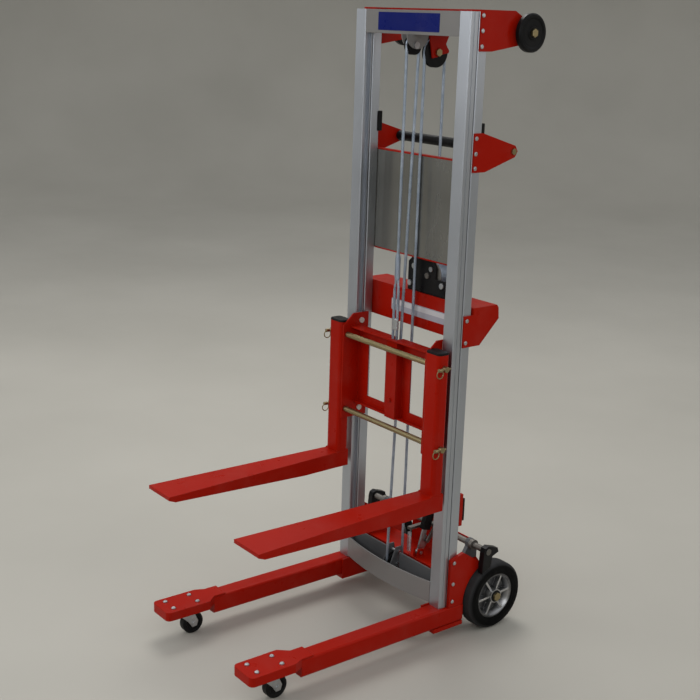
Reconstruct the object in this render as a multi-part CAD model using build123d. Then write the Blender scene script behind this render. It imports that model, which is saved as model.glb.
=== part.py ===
from build123d import *
import math
import os

os.makedirs("parts", exist_ok=True)

# Fits
running_fit = 0.05
slide_clearance = 0.3
cable_clearance = 0.3
end_gap = 0.3

# Mast columns
mast_top = 1715.0
mast_width = 459.0
column_width = 42.0
column_wall = 4.0
inner_depth = 28.0
outer_depth = 30.0
stage_gap = 2.0
corner_bevel = 2.2
side_groove_share = 0.45
groove_width = 2.4
groove_depth = 1.2
carriage_channel_in = 9.0
carriage_channel_depth = 18.0
stage_channel_width = 13.0
stage_channel_depth = 12.5
stage_slot = 7.0
stage_lip = 3.0
stage_inset = 1.0
column_in = mast_width / 2 - column_width
column_out = mast_width / 2
outer_front = inner_depth + stage_gap
outer_back = outer_front + outer_depth

# Straddle legs
leg_overhang = 0.5
leg_inner_x = column_in - leg_overhang
leg_width = 53.0
leg_height = 52.0
leg_wall = 3.0
leg_corner = 7.0
leg_bottom = 45.0
leg_back = 84.0
nose_front = -640.0
kingpin_setback = 68.0
kingpin_y = nose_front + kingpin_setback
leg_setback = 96.0
leg_front = kingpin_y + leg_setback
nose_width = 88.0
nose_shoulder_run = 67.0
nose_shoulder = kingpin_y + nose_shoulder_run
nose_neck_run = 94.0
nose_neck = kingpin_y + nose_neck_run
nose_back_run = 132.0
nose_back = kingpin_y + nose_back_run
nose_corner = 14.0
nose_plate = 4.0
nose_flange = 21.0

# Front casters
kingpin_inset = 21.0
kingpin_x = leg_inner_x + kingpin_inset
kingpin_radius = 6.0
kingpin_head_radius = 9.0
caster_wheel_radius = 32.0
caster_wheel_width = 24.0
caster_hub_radius = 11.0
caster_hub_proud = 1.5
caster_dish_radius = 20.0
caster_dish_lip = 2.0
caster_bevel = 3.0
caster_leg_gap = 2.0
caster_leg_front = 18.0
caster_leg_rear = 25.0
caster_leg_edge = 10.0
caster_eye_rear = 12.0
caster_eye_rear_rise = 6.0
caster_eye_heel = 8.0
caster_eye_front = 6.0
caster_eye_drop = 10.0
caster_eye_neck = 18.0
caster_trail = 32.0
caster_axle_radius = 5.0
caster_leg = 3.0
caster_crown_radius = 26.0
caster_crown = 5.5
caster_seat = 4.0
caster_cup_radius = 24.0
caster_cup = 7.0
caster_bolt_x = 23.0
caster_bolt_y = 38.0
caster_bolt_radius = 4.0
caster_bolt_head_radius = 6.5
caster_head = 4.0
kingpin_head = 3.5
seat_half_x = 33.0
seat_half_y = 48.0
caster_axle_head = 3.0
caster_axle_head_rim = 2.0

# Rear wheels
wheel_radius = 100.0
wheel_inset = 21.0
wheel_inner_x = leg_inner_x + wheel_inset
wheel_width = 56.0
wheel_y = 189.0
rim_radius = 67.0
rim_lip = 5.0
rim_hub_radius = 20.0
rim_web = 8.0
rim_slope = 12.0
hub_fillet = 4.0
hub_step = 6.0
hub_inset = 2.0
rim_inset = 4.0
spoke_inset = 8.0
spoke_root = 4.0
spoke_tip = 3.0
tyre_shoulder = 8.0
tyre_crown = 6.0
tyre_round = 1.5
tyre_wall = 20.0
tyre_inset = 2.0
spoke_count = 6
spoke_width = 6.0
spoke_turn = -25.0
axle_radius = 8.0
axle_head_radius = 13.0
wheel_arch = 7.0

# Base weldment
shoe_bottom = 33.0
base_plate = 10.5
axle_plate = 6.5
base_front = -24.0
side_front_top = 240.0
side_column_top = 250.0
side_peak_run = 16.0
side_peak = 254.0
side_rear_top = 204.0
web_shoulder = 200.0
web_rear_reach = 26.0
web_rear_rise = 50.0
web_rear_drop = 30.0
web_heel_reach = 1.0
web_heel = 40.0
web_toe = 100.0
gusset_gap = 1.0
gusset_top = 225.0
axle_boss_radius = 16.0
axle_nut = 8.0
axle_head = 7.5
side_wall = 4.5
side_bolt_inset = 10.0
side_bolt_heights = (115.0, 168.0, 232.0)
side_plate_front = 28.5
deck_top = 160.0
deck_front = 75.0
deck_back = 166.0
deck_skirt = 64.0
deck_plate = 4.0
centre_plate_half = 80.0
centre_plate_top = 295.0

# Brackets on the mast
bracket_plate = 4.0
bracket_front = 31.0
bracket_bolt_y = 38.0
load_wheel_radius = 49.0
load_wheel_width = 18.0
load_wheel_y = 193.0
load_wheel_drop = 48.0
load_wheel_z = mast_top - load_wheel_drop
load_hub_radius = 16.0
load_hub_proud = 0.5
load_hub_slope = 2.0
load_dish = 3.0
load_rim_outer = 10.0
load_rim_inner = 9.0
load_bevel = 4.0
load_foot_drop = 96.0
load_foot_back = 73.0
load_nose_back = 200.0
load_nose_half = 27.0
load_tip = 21.0
load_bolt_drops = (9.0, 46.0, 84.0)
load_nut = 6.0
load_head = 6.5
load_spacer = 3.5
load_wheel_gap = 6.5
load_bolt_radius = 6.0
load_bolt_head_radius = 11.0
push_bar_y = 173.0
push_bar_z = 1366.0
push_bar_radius = 12.7
push_bolt_radius = 5.0
push_bolt_depth = 20.0
push_bolt_head_radius = 8.5
push_bolt_head = 5.0
handle_low = 49.0
handle_low_back = 74.0
handle_high = 51.0
handle_high_back = 61.0
handle_tip = 16.0
handle_tip_run = 7.0
handle_tip_half = 15.0
handle_bolt_rises = (38.0, -1.0, -38.0)
tie_plate = 5.0
tie_back = 150.0
tie_flange = 35.0
tie_cut_inset = 7.5
tie_cut_back = 62.0
top_cheek_inner = 9.5
top_cheek_lead = 3.0
top_cheek_rear = 25.0
top_cheek_front = 65.0
top_cheek_lobe = (
    (26.0, 21.0), (33.0, 12.5), (39.0, 5.0), (37.0, -1.0), (15.0, -5.0), (5.0, -10.5), (-19.0, -15.0),
)
small_bolt_radius = 3.0
small_head_radius = 5.5
small_head = 3.2

# Guard panel and winch console
panel_overlap = 12.5
panel_half = column_in + panel_overlap
panel_height = 283.0
panel_sheet = 2.0
panel_flange = 13.0
panel_bolt_inset = 6.5
panel_bolt_radius = 2.5
panel_bolt_head_radius = 4.5
panel_bolt_head = 2.5
panel_bolt_low = 45.0
panel_bolt_high = 38.0
panel_wall = 3.5
console_top = 958.0
panel_rise = 97.0
panel_bottom = console_top + panel_rise
panel_top = panel_bottom + panel_height
console_setback = 4.0
console_front = outer_back + console_setback
console_sheet = 4.0
console_height = 105.0
console_bottom = console_top - console_height
console_wall_height = 99.0
console_wall_bottom = console_top - console_wall_height
console_ear = 19.0
console_heel = 92.0
console_heel_edge = 4.0
console_nose = 159.0
console_nose_drop = 38.0
console_brow = 156.0
console_brow_drop = 7.0
console_deck = 150.0
console_nose_inside = 154.5
console_nose_inside_drop = 38.5
console_brow_inside = 152.0
console_brow_inside_drop = 9.0
console_deck_inside = 148.5
console_bolts = ((41.0, 32.0), (40.0, 92.0))

# Winch
drum_x = 38.0
drum_rise = 52.0
drum_z = console_top + drum_rise
drum_axle_radius = 8.0
drum_flange_radius = 45.0
winding_radius = 38.0
winding_turns = 7.5
winding_front = 83.0
winch_front = 70.0
winch_plate = 4.0
winch_back = 148.0
winch_x0 = -45.0
winch_x1 = 110.0
winch_base = 4.0
winch_step_x = 70.0
winch_step_drop = 5.0
winch_shoulder = 26.0
winch_crown = 40.0
winch_crown_x = 56.0
winch_brow = 42.0
winch_brow_x = -30.0
winch_cheek = 28.0
winch_side_gap = 3.0
winch_axle_end = 5.0
winch_bolt_left = 10.0
winch_bolt_right = 12.0
winch_bolt_edge = 9.0
spacer_radius = 5.0
spacer_head = 4.0
spacer_head_rim = 3.0
spacer_left_rise = 20.0
spacer_right_rise = 33.0
pawl_bolt_x = 52.0
pawl_bolt_rise = 20.0
pawl_bolt_head_radius = 7.0
drum_flange = 3.0
gear_width = 8.0
gear_tip_radius = 47.5
gear_centres = 60.0
pinion_tip_radius = 12.2
crank_rise = 18.0
crank_shaft_radius = 8.0
crank_back = 178.0
crank_arm_thickness = 6.0
crank_throw = 215.0
crank_lean = 28.0
crank_grip_radius = 14.0
crank_grip_length = 100.0
crank_pin_radius = 5.0
crank_arm_half = 13.0
crank_end = 4.0
crank_grip_gap = 4.0
crank_grip_waist = 1.5
crank_grip_round = 3.0
crank_grip_tail = 5.0
crank_grip_collar = 2.0
crank_washer_rim = 4.0

# Cable and sheaves
cable_radius = 2.5
cable_front_y = -8.0
sheave_width = 14.0
sheave_mouth = 9.0
sheave_lip = 4.0
inner_sheave_radius = 21.0
inner_sheave_drop = 89.0
inner_sheave_z = mast_top - inner_sheave_drop
foot_sheave_radius = 29.0
foot_sheave_y = 26.0
foot_sheave_z = 147.0
foot_sheave_lip = 3.5
top_sheave_radius = 35.5
top_sheave_drop = 107.0
top_sheave_z = mast_top - top_sheave_drop
sheave_pin_radius = 6.0
sheave_pin_head_radius = 9.0
keeper_z = 186.0
keeper_radius = 4.0
keeper_head_radius = 6.5
sheave_bolt_head_radius = 10.5
sheave_bolt_head = 6.0
pin_head = 5.0

# Inner mast ends
beam_height = 62.0
beam_bottom = mast_top - beam_height
beam_front = 1.5
beam_back = 26.0
beam_plate = 4.0
cheek_inner = 9.0
cheek_plate = 3.0
cheek_radius = 37.0
cheek_y = 18.5
foot_bottom = 103.0
bow_height = 62.0
bow_depth = 22.0
bow_plate = 4.0
foot_plate_y = 22.0
foot_plate_top = 188.0
lug_inner = 14.0
lug_plate = 4.0
foot_notch = 136.0
foot_slot_gap = 4.5
foot_notch_margin = 8.0
foot_lug_front = -15.0
foot_lug_front_top = 124.0
foot_lug_back = 48.0
foot_lug_back_top = 128.0
foot_lug_tip_half = 9.0
foot_lug_tip = 16.0

# Carriage
carriage_gap = 5.0
carriage_side_outer = column_in - carriage_gap
carriage_side_plate = 4.5
carriage_side_inner = carriage_side_outer - carriage_side_plate
carriage_bottom = 556.0
carriage_front = -50.0
rod_y_axis = -36.5
rod_upper_z = 808.0
rod_lower_z = 584.0
fork_rod_radius = 8.0
fork_rod_end = 12.0
hitch_pin_end = 7.0
hitch_pin_radius = 2.6
hitch_reach = 15.0
hitch_head = 5.0
hitch_ring_radius = 11.0
hitch_ring_wire = 1.4
back_plate_y = 8.0
back_plate = 4.0
back_plate_bottom = 601.0
carriage_top = 832.0
window_inner = 54.0
window_margin = 43.0
window_outer = carriage_side_inner - window_margin
window_bottom = 627.0
window_top = 797.0
spine_half = 22.0
spine_front = -17.0
shelf_front = -25.0
low_shelf_front = -10.0
cable_way = 14.0
ear_back = 40.0
ear_front = -14.0
ear_rise = 36.0
ear_low = 9.0
ear_notch = 20.0
cheek_rise = 4.0
ear_foot_notch = 9.0
ear_foot = 1.0
stud_radius = 5.0
stud_head = 4.0
stud_head_rim = 3.0
anchor_back = -3.0
anchor_head = 5.0
anchor_z = 655.0
anchor_radius = 5.4
carriage_slide_height = 40.0
upper_slide_z = 845.0
lower_slide_z = 580.0

# Cable end fitting
sleeve_bottom = 985.0
sleeve_top = 1073.0
sleeve_radius = 8.0
strand_offset = 8.0
ferrule_bottom = 858.0
ferrule_top = 890.0
ferrule_wall = 2.0
ferrule_half_depth = 5.0
sleeve_wall = 1.0
strand_turn = 20.0

# Forks
fork_gap = 0.5
fork_inner_x = carriage_side_outer + fork_gap
fork_width = 57.0
fork_back = -17.0
fork_depth = 39.0
fork_wall = 4.0
fork_corner = 11.0
fork_foot = 3.0
fork_bottom = 403.0
shank_top = 844.0
fork_cap = 6.0
fork_cap_chamfer = 2.0
fork_cap_plug = 8.0
tine_top = 450.0
tine_tip = -635.0
tine_tip_top = 443.0
tine_tip_bottom = 425.0
tine_root_width = 60.0
tine_tip_width = 110.0
tine_tip_inset = 32.0
tine_tip_x = fork_inner_x + tine_tip_inset
tine_wall = 5.0
tine_nose_wall = 4.0
tine_shoulder = 4.0
tine_belly = 120.0
tine_nose_run = 20.0
tine_nose_rise = 8.0

# Brake
brake_y = 150.0
brake_z = 246.0
brake_shaft_radius = 9.0
brake_collar_radius = 15.0
bearing_inner = 2.0
bearing_outer = 4.0
bearing_foot = 24.0
bearing_shoulder = 220.0
bearing_neck = 13.0
bearing_hip = 7.0
bearing_crown = 14.0
bearing_crown_half = 7.0
bearing_back = 23.0
collar_gap = 5.0
collar_width = 12.0
shoe_inset = 36.0
shoe_inner_x = wheel_inner_x + shoe_inset
shoe_width = 18.0
shoe_gap = 0.4
shoe_back = 16.0
shoe_brow = 12.0
shoe_crown = 17.0
shoe_horn = 36.0
shoe_horn_rise = 5.0
shoe_tip = 40.0
shoe_tip_drop = 8.0
shoe_neck = 17.0
shoe_heel = 10.0
shoe_heel_drop = 60.0
shoe_toe = 20.0
shoe_toe_drop = 70.0
shoe_waist = 18.0
shoe_waist_drop = 28.0
lever_x = 30.0
lever_thickness = 6.0
lever_y = 94.0
lever_z = 174.0
lever_pin_radius = 5.0
lever_lug = 6.0
lever_lug_gap = 1.0
lever_lug_foot = 14.0
lever_lug_half = 8.0
lever_lug_head = 11.0
lever_half_width = 8.0
lever_boss_radius = 11.0
lever_pin_end = 2.0
lever_top_run = 27.0
lever_top_rise = 92.0
pad_low = 70.0
pad_high = 122.0
pad_wall = 5.0
pad_half = 14.0
lever_ear = 40.0
link_pin_radius = 4.0
link_slot_half = 5.0
link_slot_wall = 5.0
link_slot_end = 9.0
link_slot_play = 1.0
finger_gap = 3.0
finger_plate = 6.0
finger_half = 6.0
spring_x = 5.0
spring_y = 77.0
spring_radius = 5.5
spring_wire = 0.8
spring_turns = 15
spring_tail = 10.0
spring_arm_left = 4.0
spring_arm_right = 9.0
spring_arm_end = 6.0
spring_arm_half = 4.0
turn_arc_count = 4

# Derived places
leg_outer_x = leg_inner_x + leg_width
leg_top = leg_bottom + leg_height
nose_top = leg_top + nose_plate
tie_top = mast_top + tie_plate
wheel_outer_x = wheel_inner_x + wheel_width
wheel_z = wheel_radius
side_plate_outer = column_out + base_plate
bracket_outer = column_out + bracket_plate
axle_plate_inner = leg_inner_x - axle_plate
centre_y = -(nose_front + wheel_y + wheel_radius) / 2
inner_sheave_y = cable_front_y + inner_sheave_radius
drop_y = foot_sheave_y + foot_sheave_radius
top_sheave_y = drop_y + top_sheave_radius
fall_y = top_sheave_y + top_sheave_radius
fork_outer_x = fork_inner_x + fork_width
fork_rod_half = fork_outer_x + fork_rod_end
hitch_pin_x = fork_outer_x + hitch_pin_end
brake_shaft_half = wheel_outer_x
fork_front = fork_back - fork_depth
seat_bottom = leg_top - caster_seat
cup_bottom = seat_bottom - caster_cup
crown_top = cup_bottom - end_gap
crown_bottom = crown_top - caster_crown


def box(x0, x1, y0, y1, z0, z1):
    middle = Pos((x0 + x1) / 2, (y0 + y1) / 2, (z0 + z1) / 2)
    return middle * Box(x1 - x0, y1 - y0, z1 - z0)


def rounded_y(x0, x1, z0, z1, corner, y0, y1):
    section = RectangleRounded(x1 - x0, z1 - z0, corner)
    return Pos((x0 + x1) / 2, y0, (z0 + z1) / 2) * Rot(-90, 0, 0) * extrude(section, amount=y1 - y0)


def rounded_z(x0, x1, y0, y1, corner, z0, z1):
    section = RectangleRounded(x1 - x0, y1 - y0, corner)
    return Pos((x0 + x1) / 2, (y0 + y1) / 2, z0) * extrude(section, amount=z1 - z0)


def rod_x(x0, x1, y, z, radius):
    return Pos((x0 + x1) / 2, y, z) * Rot(0, 90, 0) * Cylinder(radius, x1 - x0)


def rod_y(y0, y1, x, z, radius):
    return Pos(x, (y0 + y1) / 2, z) * Rot(90, 0, 0) * Cylinder(radius, y1 - y0)


def rod_z(z0, z1, x, y, radius):
    return Pos(x, y, (z0 + z1) / 2) * Cylinder(radius, z1 - z0)


def outline(points):
    return make_face(Polyline(*points, close=True))


def plate_x(points, x0, x1):
    face = Plane.YZ.offset(x0) * outline(points)
    return extrude(face, amount=x1 - x0, dir=(1, 0, 0))


def plate_y(points, y0, y1):
    face = Plane.XZ.offset(-y0) * outline(points)
    return extrude(face, amount=y1 - y0, dir=(0, 1, 0))


def plate_z(points, z0, z1):
    face = Plane.XY.offset(z0) * outline(points)
    return extrude(face, amount=z1 - z0, dir=(0, 0, 1))


def turned(points):
    return revolve(Plane.XZ * outline(points), axis=Axis.Z)


def along_x(shape, x, y, z):
    return Pos(x, y, z) * Rot(0, 90, 0) * shape


def along_y(shape, x, y, z):
    return Pos(x, y, z) * Rot(-90, 0, 0) * shape


def bolt(shank, radius, head_radius, head):
    return turned([
        (0, -shank), (radius, -shank), (radius, 0), (head_radius, 0),
        (head_radius, head * 0.6), (head_radius * 0.7, head), (0, head),
    ])


def hex_bolt(shank, radius, head_radius, head):
    shape = Pos(0, 0, -shank / 2) * Cylinder(radius, shank)
    return shape + extrude(RegularPolygon(head_radius, 6), amount=head)


def other_side(shape):
    return mirror(shape, about=Plane.YZ)


def both_sides(shape):
    return [shape, other_side(shape)]


def bevelled(x0, x1, y0, y1, bevel):
    return [
        (x0 + bevel, y0), (x1 - bevel, y0), (x1, y0 + bevel), (x1, y1 - bevel),
        (x1 - bevel, y1), (x0 + bevel, y1), (x0, y1 - bevel), (x0, y0 + bevel),
    ]


def biarc(start, start_way, end, end_way):
    chord = end - start
    ways = start_way + end_way
    a = 4 - ways.dot(ways)
    b = 2 * chord.dot(ways)
    c = -chord.dot(chord)
    if abs(a) < 1e-9:
        reach = -c / b
    else:
        reach = (-b + math.sqrt(b * b - 4 * a * c)) / (2 * a)
    joint = (start + start_way * reach + end - end_way * reach) * 0.5
    first = TangentArc(start, joint, tangent=start_way)
    second = TangentArc(joint, end, tangent=first % 1)
    return [first, second]


def tube_along(edges, radius):
    path = Wire(edges)
    section = Plane(origin=path @ 0, z_dir=path % 0) * Circle(radius)
    return sweep(section, path=path)


def report_tube(name, shape, edges, radius):
    length = sum(edge.length for edge in edges)
    expected = math.pi * radius ** 2 * length
    print(name, "volume over section times length", round(shape.volume / expected, 4))


def least_self_gap(name, edges, radius, skip):
    path = Wire(edges)
    count = 1500
    points = [path @ (i / count) for i in range(count + 1)]
    step = path.length / count
    apart = int(skip / step)
    least = min(
        (points[i] - points[j]).length
        for i in range(0, count + 1, 3)
        for j in range(i + apart, count + 1, 3)
    )
    print(name, "least gap between turns", round(least - 2 * radius, 2))


def sheave(radius, lip, bore):
    floor = radius - cable_radius - cable_clearance
    rim = radius + lip
    half = sheave_width / 2
    mouth = sheave_mouth / 2
    seat = cable_radius + cable_clearance
    return turned([
        (bore, -half), (rim, -half), (rim, -mouth), (floor, -seat),
        (floor, seat), (rim, mouth), (rim, half), (bore, half),
    ])


nodes = {}
small_bolts = []
large_bolts = []

# Columns
carriage_channel_out = column_in + carriage_channel_in
carriage_middle = inner_depth / 2
stage_middle_x = column_out - column_wall - stage_inset - stage_channel_width / 2
stage_inner_back = inner_depth - stage_lip
stage_inner_front = stage_inner_back - stage_channel_depth
stage_outer_front = outer_front + stage_lip
stage_outer_back = stage_outer_front + stage_channel_depth
stage_x0 = stage_middle_x - stage_channel_width / 2
stage_x1 = stage_middle_x + stage_channel_width / 2
slot_x0 = stage_middle_x - stage_slot / 2
slot_x1 = stage_middle_x + stage_slot / 2


def grooves(y_face, inward, z0, z1):
    cuts = []
    for share in (0.3, 0.5, 0.7):
        x = column_in + column_width * share
        y0, y1 = sorted((y_face, y_face + inward * groove_depth))
        cuts.append(box(x - groove_width / 2, x + groove_width / 2, y0, y1, z0, z1))
    return cuts


def side_groove(y0, y1, z0, z1):
    groove_y = y0 + (y1 - y0) * side_groove_share - groove_width / 2
    return box(column_out - groove_depth, column_out, groove_y, groove_y + groove_width, z0, z1)


inner_foot = leg_top + end_gap
inner_column = plate_z(bevelled(column_in, column_out, 0, inner_depth, corner_bevel), inner_foot, mast_top)
inner_column -= box(
    column_in, carriage_channel_out,
    carriage_middle - carriage_channel_depth / 2, carriage_middle + carriage_channel_depth / 2,
    inner_foot, mast_top,
)
core_x1 = stage_x0 - column_wall
inner_column -= box(
    carriage_channel_out + column_wall, core_x1, column_wall, inner_depth - column_wall, inner_foot, mast_top,
)
inner_column -= box(stage_x0, stage_x1, stage_inner_front, stage_inner_back, inner_foot, mast_top)
inner_column -= box(slot_x0, slot_x1, stage_inner_back, inner_depth, inner_foot, mast_top)
inner_column -= box(stage_x0, stage_x1, column_wall, stage_inner_front - stage_lip, inner_foot, mast_top)
inner_column -= side_groove(0, inner_depth, inner_foot, mast_top)
nodes["inner_column_right"] = inner_column
nodes["inner_column_left"] = other_side(inner_column)

outer_section = bevelled(column_in, column_out, outer_front, outer_back, corner_bevel)
outer_column = plate_z(outer_section, leg_top, mast_top)
outer_column -= box(stage_x0, stage_x1, stage_outer_front, stage_outer_back, leg_top, mast_top)
outer_column -= box(slot_x0, slot_x1, outer_front, stage_outer_front, leg_top, mast_top)
outer_column -= box(
    column_in + column_wall, core_x1, outer_front + column_wall, outer_back - column_wall, leg_top, mast_top,
)
outer_column -= box(
    stage_x0, stage_x1, stage_outer_back + stage_lip, outer_back - column_wall, leg_top, mast_top,
)
for cut in grooves(outer_back, -1, leg_top, mast_top):
    outer_column -= cut


# Slide blocks between the two stages
def stage_block(inner_gap, outer_gap, z0, z1):
    wide0 = stage_x0 + slide_clearance
    wide1 = stage_x1 - slide_clearance
    neck0 = slot_x0 + slide_clearance
    neck1 = slot_x1 - slide_clearance
    block = box(wide0, wide1, stage_inner_front + inner_gap, stage_inner_back - inner_gap, z0, z1)
    block += box(neck0, neck1, stage_inner_back - stage_inset, stage_outer_front + stage_inset, z0, z1)
    block += box(wide0, wide1, stage_outer_front + outer_gap, stage_outer_back - outer_gap, z0, z1)
    return block


stage_block_length = 60.0
inner_block_bottom = 110.0
outer_block_drop = 15.0
outer_block_top = mast_top - outer_block_drop
nodes["inner_slide_blocks"] = both_sides(
    stage_block(0, slide_clearance, inner_block_bottom, inner_block_bottom + stage_block_length)
)
nodes["outer_slide_blocks"] = both_sides(
    stage_block(slide_clearance, 0, outer_block_top - stage_block_length, outer_block_top)
)

# Straddle leg with its nose plate
leg = rounded_y(leg_inner_x, leg_outer_x, leg_bottom, leg_top, leg_corner, leg_front, leg_back)
leg -= rounded_y(
    leg_inner_x + leg_wall, leg_outer_x - leg_wall, leg_bottom + leg_wall, leg_top - leg_wall,
    leg_corner - leg_wall, leg_front + leg_wall, leg_back,
)
nose_x0 = kingpin_x - nose_width / 2
nose_x1 = kingpin_x + nose_width / 2


def nose_shape(inset, back, z0, z1):
    x0 = nose_x0 + inset
    x1 = nose_x1 - inset
    neck_x0 = leg_inner_x + inset
    neck_x1 = leg_outer_x - inset
    front = nose_front + inset
    shape = plate_z([
        (x0, front), (x1, front), (x1, nose_shoulder), (neck_x1, nose_neck),
        (neck_x1, back), (neck_x0, back), (neck_x0, nose_neck), (x0, nose_shoulder),
    ], z0, z1)
    front_corners = shape.edges().filter_by(Axis.Z).sort_by(Axis.Y)[:2]
    return fillet(front_corners, nose_corner - inset)


nose = nose_shape(0, nose_back, leg_top, nose_top)
nose += nose_shape(0, leg_front, leg_top - nose_flange, leg_top)
nose -= nose_shape(nose_plate, leg_front, leg_top - nose_flange, leg_top)
leg += nose

# Caster seat under the nose plate
seat = box(
    kingpin_x - seat_half_x, kingpin_x + seat_half_x,
    kingpin_y - seat_half_y, kingpin_y + seat_half_y, seat_bottom, leg_top,
)
seat += rod_z(cup_bottom, seat_bottom, kingpin_x, kingpin_y, caster_cup_radius)
kingpin_end = crown_bottom - end_gap
kingpin_tip = kingpin_end - kingpin_head
seat += rod_z(kingpin_tip, cup_bottom, kingpin_x, kingpin_y, kingpin_radius)
seat += rod_z(kingpin_tip, kingpin_end, kingpin_x, kingpin_y, kingpin_head_radius)
caster_bolt_hole = caster_bolt_radius + running_fit
for dx in (-caster_bolt_x, caster_bolt_x):
    for dy in (-caster_bolt_y, caster_bolt_y):
        hole = rod_z(seat_bottom, nose_top, kingpin_x + dx, kingpin_y + dy, caster_bolt_hole)
        leg -= hole
        seat -= hole
        place = Pos(kingpin_x + dx, kingpin_y + dy, nose_top)
        small_bolts.append(place * bolt(
            nose_plate + caster_seat, caster_bolt_radius, caster_bolt_head_radius, caster_head,
        ))
nodes["leg_right"] = leg
nodes["leg_left"] = other_side(leg)
nodes["caster_seats"] = both_sides(seat)

# Caster fork with its axle, and the caster wheel
caster_wheel_z = caster_wheel_radius
caster_axle_y = kingpin_y + caster_trail
caster_leg_inner = caster_wheel_width / 2 + caster_leg_gap
caster_leg_outer = caster_leg_inner + caster_leg
caster_fork = rod_z(crown_bottom, crown_top, kingpin_x, kingpin_y, caster_crown_radius)
caster_fork -= rod_z(crown_bottom, crown_top, kingpin_x, kingpin_y, kingpin_radius + running_fit)
caster_leg_outline = [
    (kingpin_y - caster_leg_front, crown_bottom), (kingpin_y + caster_leg_rear, crown_bottom),
    (caster_axle_y + caster_eye_rear, caster_wheel_z + caster_eye_rear_rise),
    (caster_axle_y + caster_eye_heel, caster_wheel_z - caster_eye_heel),
    (caster_axle_y - caster_eye_front, caster_wheel_z - caster_eye_drop),
    (caster_axle_y - caster_eye_neck, caster_wheel_z + caster_eye_heel),
    (kingpin_y - caster_leg_front, crown_bottom - caster_leg_edge),
]
for side in (-1, 1):
    x0, x1 = sorted((kingpin_x + side * caster_leg_inner, kingpin_x + side * caster_leg_outer))
    caster_fork += plate_x(caster_leg_outline, x0, x1)
    caster_axle_end = caster_leg_outer + caster_axle_head
    x2, x3 = sorted((kingpin_x + side * caster_leg_outer, kingpin_x + side * caster_axle_end))
    caster_fork += rod_x(x2, x3, caster_axle_y, caster_wheel_z, caster_axle_radius + caster_axle_head_rim)
caster_fork += rod_x(
    kingpin_x - caster_leg_outer, kingpin_x + caster_leg_outer,
    caster_axle_y, caster_wheel_z, caster_axle_radius,
)
caster_half = caster_wheel_width / 2
caster_bore = caster_axle_radius + running_fit
hub_end = caster_half + caster_hub_proud
dish = caster_half - caster_bevel
dish_edge = caster_dish_radius + caster_dish_lip
caster_wheel = along_x(turned([
    (caster_bore, -hub_end), (caster_hub_radius, -hub_end), (caster_hub_radius, -dish),
    (caster_dish_radius, -dish), (dish_edge, -caster_half), (caster_wheel_radius - caster_bevel, -caster_half),
    (caster_wheel_radius, -dish), (caster_wheel_radius, dish),
    (caster_wheel_radius - caster_bevel, caster_half), (dish_edge, caster_half),
    (caster_dish_radius, dish), (caster_hub_radius, dish),
    (caster_hub_radius, hub_end), (caster_bore, hub_end),
]), kingpin_x, caster_axle_y, caster_wheel_z)
nodes["caster_fork_right"] = caster_fork
nodes["caster_fork_left"] = other_side(caster_fork)
nodes["caster_wheel_right"] = caster_wheel
nodes["caster_wheel_left"] = other_side(caster_wheel)

# Rear tyre and spoked rim
crown_edge = tyre_shoulder + tyre_crown
tyre_half_profile = [
    (rim_radius, tyre_inset), (wheel_radius - tyre_wall, 0), (wheel_radius - tyre_shoulder, tyre_round),
    (wheel_radius - tyre_round, tyre_shoulder), (wheel_radius, crown_edge),
]
tyre_mirrored = [(radius, wheel_width - across) for radius, across in reversed(tyre_half_profile)]
tyre = along_x(turned(tyre_half_profile + tyre_mirrored), wheel_inner_x, wheel_y, wheel_z)
rim_bore = axle_radius + running_fit
rim_inside = rim_radius - rim_lip
rim_foot = rim_inside - rim_slope
web_inner = wheel_width / 2 - rim_web / 2
web_outer = wheel_width / 2 + rim_web / 2
rim_shape = turned([
    (rim_bore, -hub_inset), (rim_hub_radius, -hub_inset), (rim_hub_radius, web_inner), (rim_foot, web_inner),
    (rim_inside, rim_inset), (rim_radius, rim_inset), (rim_radius, wheel_width - rim_inset),
    (rim_inside, wheel_width - rim_inset), (rim_foot, web_outer), (rim_hub_radius + hub_fillet, web_outer),
    (rim_hub_radius, wheel_width - hub_step), (rim_hub_radius, wheel_width), (rim_bore, wheel_width),
])
spoke_out = wheel_width - spoke_inset
for i in range(spoke_count):
    spoke = Rot(0, 0, spoke_turn + 360 / spoke_count * i) * box(
        rim_hub_radius - spoke_root, rim_inside + spoke_tip, -spoke_width / 2, spoke_width / 2,
        spoke_inset, spoke_out,
    )
    rim_shape += spoke
rim = along_x(rim_shape, wheel_inner_x, wheel_y, wheel_z)
nodes["rear_tyre_right"] = tyre
nodes["rear_tyre_left"] = other_side(tyre)
nodes["rear_rim_right"] = rim
nodes["rear_rim_left"] = other_side(rim)

# Base weldment
axle_hole = axle_radius + running_fit
axle_boss_end = wheel_inner_x - hub_inset - end_gap
side_plate = plate_x([
    (side_plate_front, leg_top), (side_plate_front, side_front_top), (outer_back, side_column_top),
    (outer_back + side_peak_run, side_peak), (brake_y, side_rear_top), (brake_y, leg_top),
], column_out, side_plate_outer)
side_plate -= rod_x(column_out, side_plate_outer, wheel_y, wheel_z, wheel_radius + wheel_arch)
axle_web = plate_x([
    (base_front, shoe_bottom), (base_front, leg_top), (outer_back, leg_top), (outer_back, web_shoulder),
    (brake_y + bearing_foot, web_shoulder), (wheel_y + web_rear_reach, wheel_z + web_rear_rise),
    (wheel_y + web_rear_reach, wheel_z - web_rear_drop),
    (wheel_y + web_heel_reach, web_heel), (web_toe, shoe_bottom),
], axle_plate_inner, leg_inner_x)
side = side_plate + axle_web
side += box(leg_inner_x, leg_outer_x, base_front, leg_back, shoe_bottom, leg_bottom)
gusset_front = outer_back + gusset_gap
side += box(leg_inner_x, column_out, gusset_front, gusset_front + deck_plate, leg_top, gusset_top)
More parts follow.
